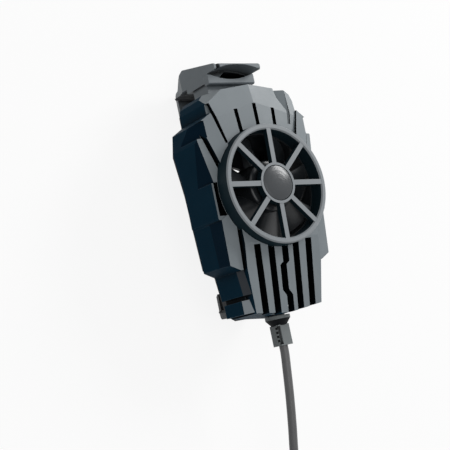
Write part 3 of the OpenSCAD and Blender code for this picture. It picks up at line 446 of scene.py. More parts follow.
# Painted shade on the strain relief's cone and end face
RELIEF_CONE_PAINTED_SHADE = Finish(
    "relief_cone_painted_shade", (0.007, 0.008, 0.009), (0.005, 0.006, 0.007), 0.55, pitch=0.2 * MM, depth=0.01 * MM,
    specular=0.06,
)
JACKET = Finish(
    "jacket_satin", (0.122, 0.122, 0.124), (0.094, 0.094, 0.096), 0.36, pitch=0.22 * MM, depth=0.006 * MM,
    specular=0.4, mottle=5 * MM,
)
GRIP = Finish(
    "plug_grip", (0.05, 0.054, 0.058), (0.036, 0.039, 0.042), 0.52, pitch=0.2 * MM, depth=0.012 * MM,
    wear_and_highlight=0.35,
)
TONGUE = Finish("plug_tongue", (0.72, 0.72, 0.69), (0.62, 0.62, 0.59), 0.4, pitch=0.4 * MM, depth=0.003 * MM)
STRAP = Finish(
    "strap_woven", (0.03, 0.032, 0.035), (0.008, 0.008, 0.009), 0.85, Pattern.WEAVE, 0.5 * MM, 0.09 * MM,
    specular=0.15, sheen=0.35,
)
STEEL = Finish(
    "steel_plain", (0.56, 0.57, 0.59), (0.44, 0.45, 0.47), 0.32, Pattern.BRUSHED, 0.08 * MM, 0.002 * MM,
    metallic=1.0, specular=0.5,
)
SPRING_STEEL = Finish(
    "spring_steel", (0.5, 0.51, 0.53), (0.38, 0.39, 0.41), 0.3, Pattern.BRUSHED, 0.05 * MM, 0.001 * MM,
    metallic=1.0, specular=0.5,
)
GILT = Finish(
    "contact_gilt", (0.75, 0.52, 0.2), (0.6, 0.4, 0.14), 0.28, Pattern.BRUSHED, 0.06 * MM, 0.001 * MM,
    metallic=1.0, specular=0.5,
)
BRONZE = Finish(
    "bronze_sintered", (0.45, 0.29, 0.13), (0.3, 0.18, 0.08), 0.45, Pattern.SPECKLE, 0.08 * MM, 0.01 * MM,
    metallic=1.0, specular=0.5,
)
FERRITE = Finish(
    "ferrite_strip", (0.05, 0.05, 0.052), (0.03, 0.03, 0.031), 0.7, Pattern.SPECKLE, 0.12 * MM, 0.01 * MM,
)
LAMINATION = Finish(
    "lamination_stack", (0.36, 0.37, 0.38), (0.16, 0.16, 0.17), 0.45, Pattern.STACK, 0.35 * MM, 0.03 * MM,
    metallic=0.9,
)
WINDING = Finish(
    "copper_winding", (0.6, 0.26, 0.1), (0.28, 0.1, 0.04), 0.3, Pattern.TURNS, 0.18 * MM, 0.05 * MM,
    metallic=0.9,
)
MASK = Finish(
    "solder_mask", (0.02, 0.14, 0.06), (0.008, 0.075, 0.03), 0.35, Pattern.TRACES, 1.1 * MM, 0.02 * MM,
)
MOULDED = Finish("chip_moulding", (0.035, 0.035, 0.037), (0.022, 0.022, 0.024), 0.5, pitch=0.15 * MM)
RED_WIRE = Finish(
    "wire_red", (0.34, 0.025, 0.022), (0.24, 0.016, 0.015), 0.4, pitch=0.3 * MM, depth=0.004 * MM,
)
BLACK_WIRE = Finish(
    "wire_black", (0.016, 0.016, 0.017), (0.01, 0.01, 0.011), 0.4, pitch=0.3 * MM, depth=0.004 * MM,
)


@dataclass(frozen=True)
class Zone:
    """The faces of a node that face along a direction by a share within limits, and their finish; here these
    finishes paint shade and light on faces by the way they look.
    """

    finish: Finish
    low: float
    high: float
    direction: Point = (0.0, 0.0, 1.0)


class WeldGroup:
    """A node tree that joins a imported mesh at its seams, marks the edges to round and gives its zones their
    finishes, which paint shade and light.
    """

    reach: float = 0.03 * MM

    def __init__(self, name: str, degrees: float, zones: Sequence[Zone]) -> None:
        """Builds the node tree.

        Args:
            name: The tree's name.
            degrees: Edges that turn by more than this are marked for rounding.
            zones: Faces that get a finish of their own.
        """
        self.tree = bpy.data.node_groups.new(name, "GeometryNodeTree")
        for side in ("INPUT", "OUTPUT"):
            self.tree.interface.new_socket("Geometry", in_out=side, socket_type="NodeSocketGeometry")
        seam = self.store("seam", "BOOLEAN", self.open_edges())
        merge = self.node("GeometryNodeMergeByDistance")
        merge.inputs["Distance"].default_value = self.reach
        read = self.node("GeometryNodeInputNamedAttribute")
        read.data_type = "BOOLEAN"
        read.inputs["Name"].default_value = "seam"
        known = read.outputs["Attribute"]
        sharpen = self.node("GeometryNodeSetShadeSmooth")
        sharpen.domain = "EDGE"
        self.link(self.logic("NOT", known), sharpen.inputs["Shade Smooth"])
        turn = self.node("GeometryNodeInputMeshEdgeAngle").outputs["Unsigned Angle"]
        steep = self.compare(turn, "GREATER_THAN", math.radians(degrees))
        weight = self.store("bevel_weight_edge", "FLOAT", self.logic("AND", known, steep))
        chain = [self.node("NodeGroupInput"), seam, merge, sharpen, weight]
        chain += [self.paint(zone) for zone in zones]
        chain.append(self.node("NodeGroupOutput"))
        for a, b in zip(chain, chain[1:]):
            self.link(a.outputs["Geometry"], b.inputs["Geometry"])

    def node(self, kind: str) -> bpy.types.Node:
        """A new node of a kind."""
        return self.tree.nodes.new(kind)

    def link(self, source: Socket, target: Socket) -> None:
        """Links an output to an input."""
        self.tree.links.new(source, target)

    def logic(self, operation: str, *values: Socket) -> Socket:
        """One logical step.

        Args:
            operation: The step's kind.
            values: What goes into it.

        Returns:
            Its result.
        """
        node = self.node("FunctionNodeBooleanMath")
        node.operation = operation
        for value, target in zip(values, node.inputs):
            self.link(value, target)
        return node.outputs[0]

    def compare(self, value: Socket, operation: str, limit: float) -> Socket:
        """One comparison with a number.

        Args:
            value: What is compared.
            operation: The comparison's kind.
            limit: The number.

        Returns:
            Its result.
        """
        node = self.node("FunctionNodeCompare")
        node.data_type, node.operation = "FLOAT", operation
        node.inputs["B"].default_value = limit
        self.link(value, node.inputs["A"])
        return node.outputs[0]

    def open_edges(self) -> Socket:
        """Edges that have one face only."""
        count = self.node("GeometryNodeInputMeshEdgeNeighbors").outputs["Face Count"]
        return self.compare(count, "LESS_THAN", 1.5)

    def store(self, name: str, kind: str, value: Socket) -> bpy.types.Node:
        """A node that stores a named value on the edges.

        Args:
            name: The value's name.
            kind: The value's type.
            value: The value.

        Returns:
            The node.
        """
        node = self.node("GeometryNodeStoreNamedAttribute")
        node.data_type, node.domain = kind, "EDGE"
        node.inputs["Name"].default_value = name
        self.link(value, node.inputs["Value"])
        return node

    def paint(self, zone: Zone) -> bpy.types.Node:
        """A node that gives a zone its finish, a painted shade or a painted light.

        Args:
            zone: The zone.

        Returns:
            The node.
        """
        dot = self.node("ShaderNodeVectorMath")
        dot.operation = "DOT_PRODUCT"
        self.link(self.node("GeometryNodeInputNormal").outputs["Normal"], dot.inputs[0])
        dot.inputs[1].default_value = zone.direction
        over = self.compare(dot.outputs["Value"], "GREATER_THAN", zone.low)
        under = self.compare(dot.outputs["Value"], "LESS_THAN", zone.high)
        node = self.node("GeometryNodeSetMaterial")
        node.inputs["Material"].default_value = zone.finish.material()
        self.link(self.logic("AND", over, under), node.inputs["Selection"])
        return node


@dataclass(frozen=True)
class EdgeRounding:
    """How a moulding's edges are softened, and the zones of it that have a finish of their own, used here for
    painted shade and painted light.
    """

    radius: float
    zones: tuple[Zone, ...] = ()
    segments: int = 3
    degrees: float = 24.0
    flat_degrees: float = 0.3
    clean_reach: float = 0.001 * MM

    def soften(self, *pieces: bpy.types.Object) -> None:
        """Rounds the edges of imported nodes.

        Args:
            pieces: The nodes.
        """
        for piece in pieces:
            weld = piece.modifiers.new("weld", "NODES")
            weld.node_group = WeldGroup(f"weld_{piece.name}", self.degrees, self.zones).tree
            flat = piece.modifiers.new("flat", "DECIMATE")
            flat.decimate_type = "DISSOLVE"
            flat.angle_limit = math.radians(self.flat_degrees)
            flat.delimit = {"SHARP", "MATERIAL"}
            bevel = piece.modifiers.new("bevel", "BEVEL")
            bevel.limit_method = "WEIGHT"
            bevel.offset_type = "OFFSET"
            bevel.width = self.radius
            bevel.segments = self.segments
            bevel.use_clamp_overlap = True
            clean = piece.modifiers.new("clean", "WELD")
            clean.merge_threshold = self.clean_reach
            normals = piece.modifiers.new("normals", "WEIGHTED_NORMAL")
            normals.keep_sharp = True


class MeshMaker:
    """Points and faces gathered for one mesh."""

    join_reach: float = 1e-7

    def __init__(self) -> None:
        """Starts an empty mesh."""
        self.points: list[Vector] = []
        self.faces: list[list[int]] = []

    def sheet(self, rows: Sequence[Sequence[Vector]], round_rows: bool = False) -> None:
        """Adds a net of faces that closes on itself along each row.

        Args:
            rows: Rows of points, all of one length.
            round_rows: Whether the last row joins the first.
        """
        base = len(self.points)
        wide = len(rows[0])
        self.points.extend(p for row in rows for p in row)
        row_count = len(rows) if round_rows else len(rows) - 1
        for i in range(row_count):
            for k in range(wide):
                a, b = base + i * wide, base + (i + 1) % len(rows) * wide
                self.faces.append([a + k, a + (k + 1) % wide, b + (k + 1) % wide, b + k])

    def cap(self, row: Sequence[Vector], turned: bool = False) -> None:
        """Adds one face.

        Args:
            row: Its corners.
            turned: Whether it faces the other way.
        """
        base = len(self.points)
        self.points.extend(row)
        corners = list(range(base, base + len(row)))
        self.faces.append(corners[::-1] if turned else corners)

    def loft(self, rows: Sequence[Sequence[Vector]]) -> None:
        """Adds a solid through rows of points, closed at both ends.

        Args:
            rows: Outlines of the solid, all with as many points.
        """
        self.sheet(rows)
        self.cap(rows[0], True)
        self.cap(rows[-1])

    def tube(self, line: Sequence[Vector], radius: float, sides: int) -> None:
        """Adds a round tube along a line, closed at both ends.

        Args:
            line: The line's points.
            radius: The tube's radius.
            sides: Points round it.
        """
        ahead = (line[1] - line[0]).normalized()
        out = ahead.orthogonal().normalized()
        rows = []
        for i, p in enumerate(line):
            new = (line[min(i + 1, len(line) - 1)] - line[max(i - 1, 0)]).normalized()
            out = (ahead.rotation_difference(new) @ out).normalized()
            ahead = new
            across = ahead.cross(out)
            turns = [math.tau * k / sides for k in range(sides)]
            rows.append([p + radius * (math.cos(a) * out + math.sin(a) * across) for a in turns])
        self.loft(rows)

    def piece(self, name: str, smooth_degrees: float = 35.0) -> bpy.types.Object:
        """The finished mesh as a piece in the scene.

        Args:
            name: The piece's name.
            smooth_degrees: Edges that turn by more than this stay sharp.

        Returns:
            The piece.
        """
        mesh = bpy.data.meshes.new(name)
        mesh.from_pydata(self.points, [], self.faces)
        work = bmesh.new()
        work.from_mesh(mesh)
        bmesh.ops.remove_doubles(work, verts=work.verts, dist=self.join_reach)
        bmesh.ops.recalc_face_normals(work, faces=work.faces)
        for face in work.faces:
            face.smooth = True
        limit = math.radians(smooth_degrees)
        for edge in work.edges:
            edge.smooth = len(edge.link_faces) == 2 and edge.calc_face_angle(0.0) < limit
        work.to_mesh(mesh)
        work.free()
        made = bpy.data.objects.new(name, mesh)
        bpy.context.scene.collection.objects.link(made)
        return made


def settle(piece: bpy.types.Object, body: Body, slot: str, *stands_for: str) -> bpy.types.Object:
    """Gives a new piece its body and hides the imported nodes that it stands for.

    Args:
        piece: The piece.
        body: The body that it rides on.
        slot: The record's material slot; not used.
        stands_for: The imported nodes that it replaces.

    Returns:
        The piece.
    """
    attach(piece, body.value)
    if stands_for:
        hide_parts(*stands_for)
    return piece


def nodes(*names: str) -> list[bpy.types.Object]:
    """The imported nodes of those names."""
    return [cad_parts[name] for name in names]


def middle(name: str) -> Vector:
    """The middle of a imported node's box."""
    low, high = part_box(name)
    return (low + high) / 2


@dataclass
class Shell:
    """The faceted front cover, the rear tray with its jaw, their screws and the pads on the back."""

    cover_edge: float = 0.22 * MM
    tray_edge: float = 0.3 * MM
    pad_edge: float = 0.2 * MM
    # The cover's steeper faces, sorted by how far they look up: walls and steep facets get painted shade
    # tinted blue as a painted reflection, the foot facet painted light and the skirt panel painted shade
    cover_zones: tuple[Zone, ...] = (
        Zone(SHELL_WALL_PAINTED_SHADE, -1.1, 0.05), Zone(SHELL_FACET_PAINTED_SHADE, 0.05, 0.3), Zone(SHELL_FOOT_PAINTED_LIGHT, 0.52, 0.59),
        Zone(SHELL_SKIRT_PAINTED_SHADE, 0.6, 0.7),
    )

    def build(self) -> None:
        """Dresses the shell's nodes."""
        SHELL.dress(*nodes("front_cover"))
        EdgeRounding(self.cover_edge, self.cover_zones).soften(*nodes("front_cover"))
        TRAY.dress(*nodes("rear_housing"))
        EdgeRounding(self.tray_edge).soften(*nodes("rear_housing"))
        SILICONE.dress(*nodes("contact_pads", "lower_jaw_pad"))
        EdgeRounding(self.pad_edge).soften(*nodes("contact_pads", "lower_jaw_pad"))
        STEEL.dress(*nodes("housing_screws", "fan_screws", "board_screws"))


@dataclass
class Guard:
    """The guard ring with its spokes, and the plain cap at its middle."""

    edge: float = 0.2 * MM
    # Painted shade on the guard's steep walls
    wall_shade_zone: Zone = Zone(GUARD_WALL_PAINTED_SHADE, -1.1, 0.3)

    def build(self) -> None:
        """Dresses the guard's nodes."""
        GUARD.dress(*nodes("fan_guard"))
        EdgeRounding(self.edge, (self.wall_shade_zone,)).soften(*nodes("fan_guard"))
        CAP.dress(*nodes("guard_cap"))


@dataclass
class Impeller:
    """The turning half of the fan: the moulded impeller on its cup, magnet, shaft and clip."""

    blade_count: int = 7
    hub_r: float = 8.2 * MM
    cup_r: float = 7.4 * MM
    skin: float = 1.4 * MM
    hub_edge: float = 0.8 * MM
    hub_edge_steps: int = 6
    dish_out: float = 0.62
    dish_in: float = 0.58
    dish_drop: float = 0.2 * MM
    boss_r: float = 1.9 * MM
    boss_drop: float = 3.5 * MM
    shaft_r: float = 0.75 * MM
    tip_r: float = 16.4 * MM
    root_in: float = 0.4 * MM
    blade_drop: float = 0.8 * MM
    blade_gap: float = 0.3 * MM
    blade_t: float = 1.1 * MM
    edge_t: float = 0.2 * MM
    camber: float = 0.9 * MM
    nose: float = 0.65
    twist: float = math.radians(44)
    stations: int = 15
    side_points: int = 17
    hub_steps: int = 96
    shaft: Vector = field(init=False)
    low: float = field(init=False)
    high: float = field(init=False)

    def __post_init__(self) -> None:
        """Takes the shaft's place and the hub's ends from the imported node."""
        low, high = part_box("impeller")
        self.shaft = middle("rotor_shaft")
        self.low, self.high = low.z, high.z

    def round_about(self, profile: Iterable[tuple[float, float]]) -> list[list[Vector]]:
        """Turns a profile about the shaft.

        Args:
            profile: Radius and height of each point.

        Returns:
            One ring of points for each point of the profile.
        """
        turns = [math.tau * k / self.hub_steps for k in range(self.hub_steps)]
        return [
            [Vector((self.shaft.x + r * math.cos(a), self.shaft.y + r * math.sin(a), z)) for a in turns]
            for r, z in profile
        ]

    def hub(self, maker: MeshMaker) -> None:
        """Adds the hub, hollow below for the cup.

        Args:
            maker: The mesh under construction.
        """
        roof = self.high - self.skin
        dish = self.high - self.dish_drop
        steps = [math.pi / 2 * i / self.hub_edge_steps for i in range(self.hub_edge_steps + 1)]
        e = self.hub_edge
        shoulder = [(self.hub_r - e + e * math.cos(a), self.high - e + e * math.sin(a)) for a in steps]
        profile = [
            (0.0, self.high - self.skin / 2), (self.shaft_r, self.high - self.skin / 2),
            (self.shaft_r, roof - self.boss_drop + self.skin),
            (self.boss_r, roof - self.boss_drop + self.skin),
            (self.boss_r, roof), (self.cup_r, roof), (self.cup_r, self.low), (self.hub_r, self.low),
            *shoulder, (self.dish_out * self.hub_r, self.high), (self.dish_in * self.hub_r, dish),
            (0.0, dish),
        ]
        maker.sheet(self.round_about(profile))

    def section(self, radius: float, turn: float) -> list[Vector]:
        """One cambered section of a blade, wrapped on a cylinder about the shaft.

        Args:
            radius: The cylinder's radius.
            turn: The blade's place round the shaft.

        Returns:
            The section's outline.
        """
        height = self.high - self.blade_gap - self.low - self.blade_drop
        run = radius * self.twist
        pitch = math.atan2(height, run)
        shares = [k / (self.side_points - 1) for k in range(self.side_points)]
        outline = []
        for face, us in ((1, shares), (-1, shares[::-1])):
            for u in us:
                half = self.edge_t + (self.blade_t / 2 - self.edge_t) * math.sin(math.pi * u**self.nose)
                off = self.camber * math.sin(math.pi * u) + face * half
                a = turn + (run * (u - 0.5) - off * math.sin(pitch)) / radius
                z = min(max(height * u + off * math.cos(pitch), 0.0), height)
                outline.append(
                    Vector((
                        self.shaft.x + radius * math.cos(a),
                        self.shaft.y + radius * math.sin(a),
                        self.low + self.blade_drop + z,
                    ))
                )
        return outline

    def blades(self, maker: MeshMaker) -> None:
        """Adds the blades.

        Args:
            maker: The mesh under construction.
        """
        root = self.hub_r - self.root_in
        radii = [root + (self.tip_r - root) * i / (self.stations - 1) for i in range(self.stations)]
        for i in range(self.blade_count):
            turn = math.tau * i / self.blade_count
            rows = [self.section(r, turn) for r in radii]
            maker.loft(rows)

    def build(self) -> bpy.types.Object:
        """Makes the impeller and dresses what turns with it.

        Returns:
            The impeller.
        """
        maker = MeshMaker()
        self.hub(maker)
        self.blades(maker)
        piece = settle(maker.piece("impeller_moulding"), Body.ROTOR, "fan_plastic", "impeller")
        FAN.dress(piece, *nodes("shaft_clip"))
        STEEL.dress(*nodes("rotor_cup", "rotor_shaft"))
        FERRITE.dress(*nodes("rotor_magnet"))
        return piece


@dataclass
class Motor:
    """The standing half of the fan: duct, bearing, stator and board."""

    duct_edge: float = 0.2 * MM

    def build(self) -> None:
        """Dresses the motor's nodes."""
        FAN.dress(*nodes("fan_frame"))
        EdgeRounding(self.duct_edge).soften(*nodes("fan_frame"))
        BRONZE.dress(*nodes("bearing_sleeve"))
        LAMINATION.dress(*nodes("stator_core"))
        WINDING.dress(*nodes("stator_coils"))
        MASK.dress(*nodes("motor_board"))


class Electronics:
    """The control board, its parts and the wires inside the shell."""

    def build(self) -> None:
        """Dresses the board's nodes."""
        MASK.dress(*nodes("control_board"))
        MOULDED.dress(*nodes("board_parts"))
        RED_WIRE.dress(*nodes("fan_wires"))
        BLACK_WIRE.dress(*nodes("power_wires"))


@dataclass
class Jaw:
    """The sliding upper jaw with its plate, its facing and the two springs that pull it back."""

    edge: float = 0.3 * MM
    plate_edge: float = 0.15 * MM
    pad_edge: float = 0.15 * MM
    spring_x: float = 10.3 * MM
    spring_r: float = 1.2 * MM
    wire_r: float = 0.25 * MM
    turns: int = 11
    rings: int = 20
    sides: int = 8

    def coil(self, maker: MeshMaker, x: float, low: Vector, high: Vector) -> None:
        """Adds one spring.

        Args:
            maker: The mesh under construction.
            x: Place of its axis across the part.
            low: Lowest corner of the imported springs.
            high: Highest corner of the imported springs.
        """
        z = (low.z + high.z) / 2
        span = high.y - low.y - 2 * self.wire_r
        count = self.turns * self.rings
        ring = [math.tau * k / self.sides for k in range(self.sides)]
        along = Vector((0.0, 1.0, 0.0))
        rows = []
        for i in range(count + 1):
            a = math.tau * i / self.rings
            out = Vector((math.cos(a), 0.0, math.sin(a)))
            centre = Vector((x, low.y + self.wire_r + span * i / count, z)) + self.spring_r * out
            rows.append([centre + self.wire_r * (math.cos(b) * out + math.sin(b) * along) for b in ring])
        maker.loft(rows)

    def springs(self) -> bpy.types.Object:
        """Makes the springs; they stay in place here, though the real ones stretch with the jaw.

        Returns:
            The springs.
        """
        low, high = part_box("return_springs")
        maker = MeshMaker()
        for x in (-self.spring_x, self.spring_x):
            self.coil(maker, x, low, high)
        piece = maker.piece("return_spring_pair", smooth_degrees=80.0)
        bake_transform(piece)
        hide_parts("return_springs")
        SPRING_STEEL.dress(piece)
        return piece

    def build(self) -> bpy.types.Object:
        """Dresses the jaw and makes its springs.

        Returns:
            The springs.
        """
        JAW.dress(*nodes("jaw_slider", "jaw_plate"))
        EdgeRounding(self.edge).soften(*nodes("jaw_slider"))
        EdgeRounding(self.plate_edge).soften(*nodes("jaw_plate"))
        SILICONE.dress(*nodes("upper_jaw_pad"))
        EdgeRounding(self.pad_edge).soften(*nodes("upper_jaw_pad"))
        return self.springs()


@dataclass
class Lead:
    """The lead: strain relief, cable, coil with its strap, and the plug on its far end."""

    diameter: float = 2.8 * MM
    exit: Point = (0.0, -51.85 * MM, 22.5 * MM)
    coil_centre: tuple[float, float] = (-11 * MM, -126 * MM)
    coil_out: float = 23 * MM
    pitch: float = 3.3 * MM
    layer_turns: float = 4.5
    climb_turns: float = 0.5
    bed: float = 2.3 * MM
    plug_z: float = 4.2 * MM
    tail_run: float = 12 * MM
    tail_steps: int = 8
    fall_steps: int = 4
    steps: int = 48
    sides: int = 16
    relief_edge: float = 0.25 * MM
    # Painted shade on the strain relief's faces that look along -Y
    cone_shade_zone: Zone = Zone(RELIEF_CONE_PAINTED_SHADE, 0.4, 1.1, (0.0, -1.0, 0.0))
    grip_edge: float = 0.4 * MM
    strap_w: float = 5 * MM
    strap_t: float = 0.6 * MM
    strap_corner: float = 1.3 * MM
    strap_soft: float = 0.12 * MM
    corner_steps: int = 6
    contact_l: float = 7.2 * MM
    contact_half: float = 0.55 * MM
    contact_rim: float = 0.15 * MM
    contact_lift: float = 0.06 * MM
    # Each contact's place across the tongue as a share, and how far it lies behind the tip
    contact_spots: tuple[tuple[float, float], ...] = (
        (0.14, 0.6 * MM), (0.38, 1.6 * MM), (0.62, 1.6 * MM), (0.86, 0.6 * MM),
    )
    swing_from: float = -86 * MM
    swing_to: float = -119 * MM
    # The cable from the strain relief down to the bed, in millimetres along Y and Z
    drop: tuple[tuple[float, float], ...] = (
        (-54.65, 22.4), (-60, 21.6), (-66, 20.65), (-72, 19.5), (-78, 18.2), (-84, 16.75), (-90, 15),
        (-96, 12.8), (-102, 10.2), (-108, 7.4), (-114, 4.9), (-119, 3.2), (-123.2, 2.3),
    )

    @property
    def turns(self) -> float:
        """Turns of the whole coil."""
        return 2 * self.layer_turns + self.climb_turns

    @staticmethod
    def ease(t: float) -> float:
        """A smooth step from 0 to 1."""
        return t * t * (3 - 2 * t)

    @staticmethod
    def through(points: Sequence[Vector], steps: int) -> list[Vector]:
        """A smooth line through points.

        Args:
            points: The points.
            steps: Steps from each point to the next.

        Returns:
            The line, without its last point.
        """
        padded = [2 * points[0] - points[1], *points, 2 * points[-1] - points[-2]]
        line = []
        for a, b, c, d in zip(padded, padded[1:], padded[2:], padded[3:]):
            for i in range(steps):
                t = i / steps
                square = (2 * a - 5 * b + 4 * c - d) * t**2
                cube = (3 * b - a - 3 * c + d) * t**3
                line.append(0.5 * (2 * b + (c - a) * t + square + cube))
        return line

    def side(self, y: float) -> float:
        """How far the cable has swung sideways to the outer turn at a place along Y."""
        share = (self.swing_from - y) / (self.swing_from - self.swing_to)
        return (self.coil_centre[0] + self.coil_out) * self.ease(min(max(share, 0.0), 1.0))

    def coil_point(self, t: float) -> Vector:
        """A point of the coil.

        Args:
            t: Turns from its start.

        Returns:
            The point.
        """
        half = self.turns / 2
        radius = self.coil_out - self.pitch * (half - abs(t - half))
        climb = self.ease(min(max((t - self.layer_turns) / self.climb_turns, 0.0), 1.0))
        a = math.tau * t
        return Vector((
            self.coil_centre[0] + radius * math.cos(a),
            self.coil_centre[1] - radius * math.sin(a),
            self.bed + climb * self.pitch,
        ))

    def route(self) -> list[Vector]:
        """The cable's middle line from the strain relief to the plug.

        Returns:
            Its points.
        """
        start = self.coil_point(0.0)
        fall = [Vector(self.exit)]
        fall += [Vector((self.side(y * MM), y * MM, z * MM)) for y, z in self.drop]
        fall.append(start)
        coil = [self.coil_point(i / self.steps) for i in range(int(self.turns * self.steps) + 1)]
        end = coil[-1]
        tail = []
        for i in range(1, self.tail_steps + 1):
            t = i / self.tail_steps
            z = end.z + (self.plug_z - end.z) * self.ease(t)
            tail.append(Vector((end.x, end.y + self.tail_run * t, z)))
        tail.append(Vector((end.x, end.y + self.tail_run + self.diameter, self.plug_z)))
        return self.through(fall, self.fall_steps) + coil + tail

    def cable(self) -> bpy.types.Object:
        """Makes the cable.

        Returns:
            The cable.
        """
        maker = MeshMaker()
        maker.tube(self.route(), self.diameter / 2, self.sides)
        piece = maker.piece("lead", smooth_degrees=60.0)
        return settle(piece, Body.HOUSING, "lead_jacket", "lead_cord", "lead_coil")

    def length(self) -> float:
        """The cable's length."""
        points = self.route()
        return sum((b - a).length for a, b in zip(points, points[1:]))

    def strap(self) -> bpy.types.Object:
        """Makes the strap, a closed loop with soft edges round all the turns.

        Returns:
            The strap.
        """
        low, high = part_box("coil_tie")
        t, corner, soft = self.strap_t, self.strap_corner, self.strap_soft
        corners = (
            (high.y - corner, low.z + corner, -90), (high.y - corner, high.z - corner, 0),
            (low.y + corner, high.z - corner, 90), (low.y + corner, low.z + corner, 180),
        )
        loop = []
        for y, z, start in corners:
            for i in range(self.corner_steps + 1):
                a = math.radians(start + 90 * i / self.corner_steps)
                loop.append((y, z, math.cos(a), math.sin(a)))
        x = (low.x + high.x) / 2
        half = self.strap_w / 2
        inner = corner - t
        section = (
            (-half, inner + soft), (-half, corner - soft), (-half + soft, corner), (half - soft, corner),
            (half, corner - soft), (half, inner + soft), (half - soft, inner), (-half + soft, inner),
        )
        rows = [[Vector((x + w, y + r * cy, z + r * cz)) for w, r in section] for y, z, cy, cz in loop]
        maker = MeshMaker()
        maker.sheet(rows, round_rows=True)
        piece = maker.piece("coil_strap", smooth_degrees=50.0)
        return settle(piece, Body.HOUSING, "strap", "coil_tie")

    def contacts(self) -> bpy.types.Object:
        """Makes the four contact strips on the plug's tongue.

        Returns:
            The strips.
        """
        low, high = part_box("usb_plug_core")
        maker = MeshMaker()
        for share, inset in self.contact_spots:
            x = low.x + (high.x - low.x) * share
            y1 = high.y - inset
            y0 = y1 - self.contact_l
            rows = []
            for rim, z in ((0.0, high.z - self.contact_lift), (self.contact_rim, high.z + self.contact_lift)):
                half = self.contact_half - rim
                ends = ((-half, y0 + rim), (half, y0 + rim), (half, y1 - rim), (-half, y1 - rim))
                rows.append([Vector((x + across, y, z)) for across, y in ends])
            maker.loft(rows)
        return settle(maker.piece("plug_contacts", smooth_degrees=20.0), Body.HOUSING, "bronze")

    def build(self) -> bpy.types.Object:
        """Makes and dresses the lead.

        Returns:
            The cable.
        """
        cable, strap, contacts = self.cable(), self.strap(), self.contacts()
        JACKET.dress(cable)
        STRAP.dress(strap)
        GILT.dress(contacts)
        RELIEF.dress(*nodes("strain_relief"))
        EdgeRounding(self.relief_edge, (self.cone_shade_zone,)).soften(*nodes("strain_relief"))
        GRIP.dress(*nodes("usb_plug"))
        EdgeRounding(self.grip_edge).soften(*nodes("usb_plug"))
        STEEL.dress(*nodes("usb_plug_shell"))
        TONGUE.dress(*nodes("usb_plug_core"))
        self.length()
        self.route()
        return cable


@dataclass(frozen=True)
class Lamp:
    """A soft panel light."""

    name: str
    place: Point
    watts: float
    size: float

    def hang(self, aim: Vector) -> None:
        """Hangs the lamp.

        Args:
            aim: What it points at.
        """
        light = bpy.data.lights.new(self.name, "AREA")
        light.energy = self.watts
        light.size = self.size
        lamp = bpy.data.objects.new(self.name, light)
        lamp.location = self.place
        lamp.rotation_euler = (aim - Vector(self.place)).to_track_quat("-Z", "Y").to_euler()
        lamp.visible_camera = False
        bpy.context.scene.collection.objects.link(lamp)


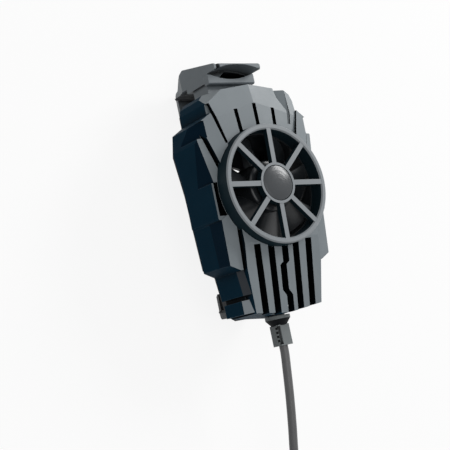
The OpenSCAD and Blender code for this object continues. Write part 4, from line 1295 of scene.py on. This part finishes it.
@dataclass
class Studio:
    """The camera, the pale floor and plain soft light."""

    camera_place: Point = (-0.20633, -0.05438, 0.28533)
    camera_turn: Point = (15.596, -34.020, -14.129)
    lens: float = 84.725
    sensor: float = 36.0
    nearest: float = 0.01
    farthest: float = 50.0
    floor_size: float = 6.0
    floor_white: float = 0.95
    floor_bounce: float = 0.55
    floor_glow: float = 0.87
    sky: float = 0.3
    lamps: tuple[Lamp, ...] = (
        Lamp("key", (0.58, 0.34, 0.46), 3.6, 0.3),
        Lamp("top", (-0.2, -0.1, 0.75), 1.7, 0.6),
    )

    def camera(self) -> bpy.types.Object:
        """Makes the camera.

        Returns:
            The camera.
        """
        data = bpy.data.cameras.new("camera")
        data.sensor_width = self.sensor
        data.lens = self.lens
        data.clip_start = self.nearest
        data.clip_end = self.farthest
        camera = bpy.data.objects.new("camera", data)
        camera.location = self.camera_place
        camera.rotation_euler = Euler([math.radians(a) for a in self.camera_turn], "XYZ")
        bpy.context.scene.collection.objects.link(camera)
        bpy.context.scene.camera = camera
        return camera

    @staticmethod
    def seen(tree: bpy.types.NodeTree) -> Socket:
        """Whether a ray comes from the eye, straight or by a mirror or glass.

        Args:
            tree: The node tree.

        Returns:
            1 for such a ray.
        """
        path = tree.nodes.new("ShaderNodeLightPath")
        total = path.outputs["Is Camera Ray"]
        for name in ("Is Glossy Ray", "Is Transmission Ray"):
            add = tree.nodes.new("ShaderNodeMath")
            add.operation = "MAXIMUM"
            tree.links.new(total, add.inputs[0])
            tree.links.new(path.outputs[name], add.inputs[1])
            total = add.outputs[0]
        return total

    def floor(self) -> None:
        """Makes the floor, white to the eye and open from below."""
        half = self.floor_size / 2
        mesh = bpy.data.meshes.new("floor")
        corners = [(-half, -half, 0.0), (half, -half, 0.0), (half, half, 0.0), (-half, half, 0.0)]
        mesh.from_pydata(corners, [], [(0, 1, 2, 3)])
        floor = bpy.data.objects.new("floor", mesh)
        bpy.context.scene.collection.objects.link(floor)
        material = bpy.data.materials.new("floor_white")
        material.use_nodes = True
        tree = material.node_tree
        tree.nodes.clear()
        new, link = tree.nodes.new, tree.links.new
        glow = new("ShaderNodeEmission")
        matt, bounce = (new("ShaderNodeBsdfDiffuse") for _ in range(2))
        for node, level in ((matt, self.floor_white), (bounce, self.floor_bounce)):
            node.inputs["Color"].default_value = (level, level, level, 1.0)
        white, eye, side = (new("ShaderNodeMixShader") for _ in range(3))
        white.inputs[0].default_value = self.floor_glow
        link(matt.outputs[0], white.inputs[1])
        link(glow.outputs[0], white.inputs[2])
        link(self.seen(tree), eye.inputs[0])
        link(bounce.outputs[0], eye.inputs[1])
        link(white.outputs[0], eye.inputs[2])
        facing = new("ShaderNodeNewGeometry")
        clear = new("ShaderNodeBsdfTransparent")
        out = new("ShaderNodeOutputMaterial")
        link(facing.outputs["Backfacing"], side.inputs[0])
        link(eye.outputs[0], side.inputs[1])
        link(clear.outputs[0], side.inputs[2])
        link(side.outputs[0], out.inputs["Surface"])
        mesh.materials.append(material)

    def air(self) -> None:
        """Makes the world: white to the eye, soft light for the rest."""
        world = bpy.data.worlds.new("studio")
        world.use_nodes = True
        tree = world.node_tree
        back = tree.nodes["Background"]
        back.inputs["Color"].default_value = (1.0, 1.0, 1.0, 1.0)
        level = tree.nodes.new("ShaderNodeMapRange")
        tree.links.new(self.seen(tree), level.inputs["Value"])
        level.inputs["To Min"].default_value = self.sky
        level.inputs["To Max"].default_value = 1.0
        tree.links.new(level.outputs["Result"], back.inputs["Strength"])
        bpy.context.scene.world = world

    def build(self) -> bpy.types.Object:
        """Sets up the camera, the floor and the light.

        Returns:
            The camera.
        """
        bpy.context.scene.view_settings.view_transform = "Standard"
        self.floor()
        self.air()
        aim = middle("rotor_shaft")
        for lamp in self.lamps:
            lamp.hang(aim)
        return self.camera()


def write_sizes() -> None:
    bpy.context.view_layer.update()


def main() -> None:
    """Builds the studio and the pieces in order, and reports each one."""
    logging.basicConfig(level=logging.INFO, format="%(name)s: %(message)s")
    for part in (Studio(), Lead(), Shell(), Guard(), Impeller(), Motor(), Electronics(), Jaw()):
        made = part.build()
        LOG.info("%s ready%s", type(part).__name__, f", {made.name} made" if made else "")
    write_sizes()


if __name__ == "__main__":
    main()
